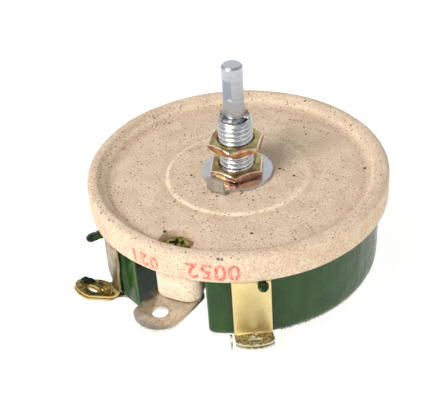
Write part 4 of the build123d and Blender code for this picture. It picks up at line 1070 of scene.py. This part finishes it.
def ground_finish():
    steel = Finish("ground_steel", (184, 188, 194), 0.3, metallic=1.0)
    lines = steel.noise(0.5, at=steel.stretched(0.12, 0.12, 3))
    body = steel.mix(steel.ramp(lines, 0.36, 0.66), (190, 194, 200), (172, 177, 184))
    body = steel.cloud(body, (138, 140, 142), 1.4, 0.62, 0.78, 0.4, detail=4.0)
    # Painted light: the shaft's top face is painted lighter, as the sky would light it.
    body = steel.mix(steel.ramp(steel.facing_along(), 0.85, 0.97), body, (222, 226, 232))
    away = polar(1, FLAT_ANGLE)
    height = steel.sum("ABSOLUTE", steel.sum("SUBTRACT", steel.reach_along(), sum(FLAT_SPAN) / 2))
    milled = steel.product(steel.ramp(steel.reach_along(away), 2.67, 2.70, 1.0, 0.0),
                           steel.ramp(steel.facing_along(away), 0.96, 0.99),
                           steel.ramp(height, 2.9, 3.0, 1.0, 0.0))
    return steel.coat(steel.mix(milled, body, (156, 165, 178)),
                      steel.ramp(steel.noise(1.3), 0.35, 0.7, 0.28, 0.4),
                      (steel.noise(0.9, detail=2.0, at=steel.stretched(0.1, 0.1, 6)), 0.03))


def milled_shaft():
    low, top = (corner.z for corner in node_box("control_shaft"))
    piece = raw_object("milled_shaft", lathe(
        [(0, low), (SHAFT_R, low, 0.4), (SHAFT_R, GROOVE_LOW, 0.05), (GROOVE_R, GROOVE_LOW, 0.05),
         (GROOVE_R, GROOVE_HIGH, 0.05), (SHAFT_R, GROOVE_HIGH, 0.05), (SHAFT_R, top - SHAFT_CHAMFER, 0.1),
         (SHAFT_R - SHAFT_CHAMFER, top, 0.1), (0, top)], steps=96, spacing=2.0))
    combine(piece, turned_to(bar(FLAT_R, SHAFT_R + 1, SHAFT_R + 1, *FLAT_SPAN), FLAT_ANGLE))
    return finish(break_edges(piece, 0.04, segments=1, angle=24), ground_finish(), "rotor",
                  ["control_shaft"])


def snap_ring():
    low, high = (corner.z for corner in node_box("retaining_ring"))
    ring = lathe([(SNAP_INNER_R, low, 0.1), (SNAP_OUTER_R, low, 0.14), (SNAP_OUTER_R, high, 0.14),
                  (SNAP_INNER_R, high, 0.1)], steps=60, turn=radians(360 - 2 * SNAP_GAP_HALF))
    piece = raw_object("snap_ring", turned_to(ring, SNAP_GAP_ANGLE + SNAP_GAP_HALF))
    return finish(piece, spring_steel, "rotor", ["retaining_ring"])


milled_shaft()
snap_ring()

# %% [markdown]
# ## Parts whose CAD shape already shows everything
# The locating washer and the parts under the base keep their CAD meshes, which are finer than
# the view needs. They only get finishes: bright zinc, white steatite, graphite and copper braid.

# %% Finishes for the carried-over nodes
CARRIED = [(bright_zinc, ("locating_washer", "screw_lock_washer", "screw_nut", "arm_screws")),
           (spring_steel, ("contact_spring", "cross_pin", "contact_arm", "brush_holder")),
           (braid_copper, ("brush_rivet", "shunt_braid")), (BRASS["right"], ("slip_ring",)),
           (steatite, ("rotor_hub",)), (graphite, ("contact_brush",))]
for material, carried in CARRIED:
    for held in (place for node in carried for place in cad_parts[node].material_slots):
        held.material = material
    print("carried over:", *carried)

# %% [markdown]
# ## Stamped figures
# The base carries red ink stamps: its resistance and its power. Plain figures stand in for them.
# Each figure is a text object turned into a mesh, divided, laid on the wall as on a drum and
# lifted clear by a few hundredths of a millimetre. Ink on rough clay breaks up, so the finish
# mixes red with the clay's own colour by noise.

# %% Ink and figures
def ink_finish(name, red, worn):
    """Ink that has worn off where the noise is above a level."""
    ink = Finish(name, red, 0.75)
    return ink.coat(ink.cloud(red, (231, 196, 172), 0.5, worn, worn + 0.12, detail=4.0, rough=0.7),
                    ink.ramp(ink.noise(0.8), 0.3, 0.7, 0.65, 0.85))


def figure_mesh(text, height):
    curve = bpy.data.curves.new("figure", "FONT")
    curve.body, curve.align_x, curve.align_y = text, "CENTER", "CENTER"
    curve.size, curve.offset, curve.resolution_u = height / 0.7, 0.14, 4
    return curve_mesh(curve)


def stamp(name, ink, figures):
    """Figures as (text, angle on the wall, height of the middle, size, tilt in degrees), upside down."""
    whole = bmesh.new()
    for text, angle, middle, size, tilt in figures:
        flat = turned_to(figure_mesh(text, size), 180 + tilt)
        bmesh.ops.triangulate(flat, faces=flat.faces)
        bmesh.ops.subdivide_edges(flat, edges=[e for e in flat.edges if e.calc_length() > 0.8], cuts=2)
        bmesh.ops.triangulate(flat, faces=flat.faces)
        for vert in flat.verts:
            around = angle + degrees(vert.co.x / BASE_R)
            place = polar(BASE_R, around, middle + vert.co.y)
            vert.co = place + polar(0.03 + clay_sag(place), around)
        copy_round(whole, spare_mesh(flat), [0])
    return finish(raw_object(name, whole), ink, "stator", [])


red_ink = ink_finish("red_ink", (216, 96, 86), 0.49)
faint_ink = ink_finish("faint_ink", (230, 142, 128), 0.42)
stamp("stamped_figures_small", red_ink,
      [("1", 256.8, -2.3, 3.7, 6), ("2", 261.2, -2.5, 3.7, 3), ("0", 265.6, -2.6, 3.7, 0)])
stamp("stamped_figures_large", red_ink,
      [("2", 280.3, -1.9, 4.7, 3), ("5", 285.3, -1.8, 4.8, 0), ("0", 290.2, -2.0, 5.0, -2),
       ("0", 295.0, -1.9, 4.8, 0)])
stamp("stamped_figures_faint", faint_ink, [("1", 235.5, -0.6, 4.2, 10), ("4", 239.5, -1.2, 4.2, 8)])

# %% [markdown]
# ## Floor, light and camera
# The object stands on a white sweep under large soft lights, so the floor is nearly white, the
# world is bright, and one big area light from the upper left gives the metal its highlights.
# A long lens from about a third of the way up matches the way the rim closes into an ellipse.

# %% Floor, lights and camera
FLOOR_Z, FLOOR_HALF, FLOOR_GLOW = cad_box[0][2] - 0.00002, 1.5, 0.72
WORLD_SIDE, WORLD_TOP = 0.72, 0.25
AZIMUTH, ELEVATION, DISTANCE, ROLL = radians(28), radians(33.62), 0.3124, radians(-4.017)
UP = Vector((0, 0, 1))


def floor_finish():
    paper = Finish("white_paper", (208, 208, 208), 0.9, Specular_IOR_Level=0.1,
                   Emission_Color=(1, 1, 1, 1), Emission_Strength=FLOOR_GLOW)
    return paper.coat(paper.cloud((209, 209, 209), (206, 206, 206), 60.0, 0.3, 0.7))


sheet = bmesh.new()
bmesh.ops.create_grid(sheet, x_segments=2, y_segments=2, size=FLOOR_HALF)
floor = raw_object("floor", moved(sheet, UP * FLOOR_Z))
floor.data.materials.append(floor_finish())

world = bpy.data.worlds.new("studio")
bpy.context.scene.world = world
world.use_nodes = True
sky = world.node_tree
split = sky.nodes.new("ShaderNodeSeparateXYZ")
fade = sky.nodes.new("ShaderNodeMapRange")
sky.links.new(sky.nodes.new("ShaderNodeTexCoord").outputs["Generated"], split.inputs[0])
sky.links.new(split.outputs["Z"], fade.inputs["Value"])
for socket, number in (("From Min", 0.5), ("From Max", 0.95), ("To Min", WORLD_SIDE), ("To Max", WORLD_TOP)):
    fade.inputs[socket].default_value = number
sky.links.new(fade.outputs["Result"], sky.nodes["Background"].inputs["Strength"])
sky.nodes["Background"].inputs["Color"].default_value = (1, 1, 1, 1)


def soft_light(name, place, size, power):
    light = bpy.data.lights.new(name, "AREA")
    light.shape, light.size, light.energy = "DISK", size, power
    holder = bpy.data.objects.new(name, light)
    holder.location = place
    holder.rotation_euler = (-place).to_track_quat("-Z", "Y").to_euler()
    bpy.context.scene.collection.objects.link(holder)


ahead = Vector((-sin(AZIMUTH), cos(AZIMUTH), 0))
right = Vector((cos(AZIMUTH), sin(AZIMUTH), 0))
soft_light("key", -ahead * 0.45 - right * 0.55 + UP * 0.7, 0.5, 8)
soft_light("fill", -ahead * 0.6 + right * 0.6 + UP * 0.35, 0.6, 0.6)

camera_data = bpy.data.cameras.new("camera")
camera_data.sensor_width, camera_data.lens = 36, 90.0
camera = bpy.data.objects.new("camera", camera_data)
bpy.context.scene.collection.objects.link(camera)
camera.location = (-ahead * cos(ELEVATION) + UP * sin(ELEVATION)) * DISTANCE + UP * 0.0028
aim = right * -0.006495 - UP * 0.00966
look = (aim - camera.location).normalized()
side_way = look.cross(UP).normalized()
x_axis = side_way * cos(ROLL) + side_way.cross(look) * sin(ROLL)
axes = Matrix((x_axis, (-look).cross(x_axis), -look)).transposed().to_4x4()
camera.matrix_world = Matrix.Translation(camera.location) @ axes
bpy.context.scene.camera = camera
bpy.context.scene.view_settings.view_transform = "Standard"
print("camera at", [round(c, 4) for c in camera.location])
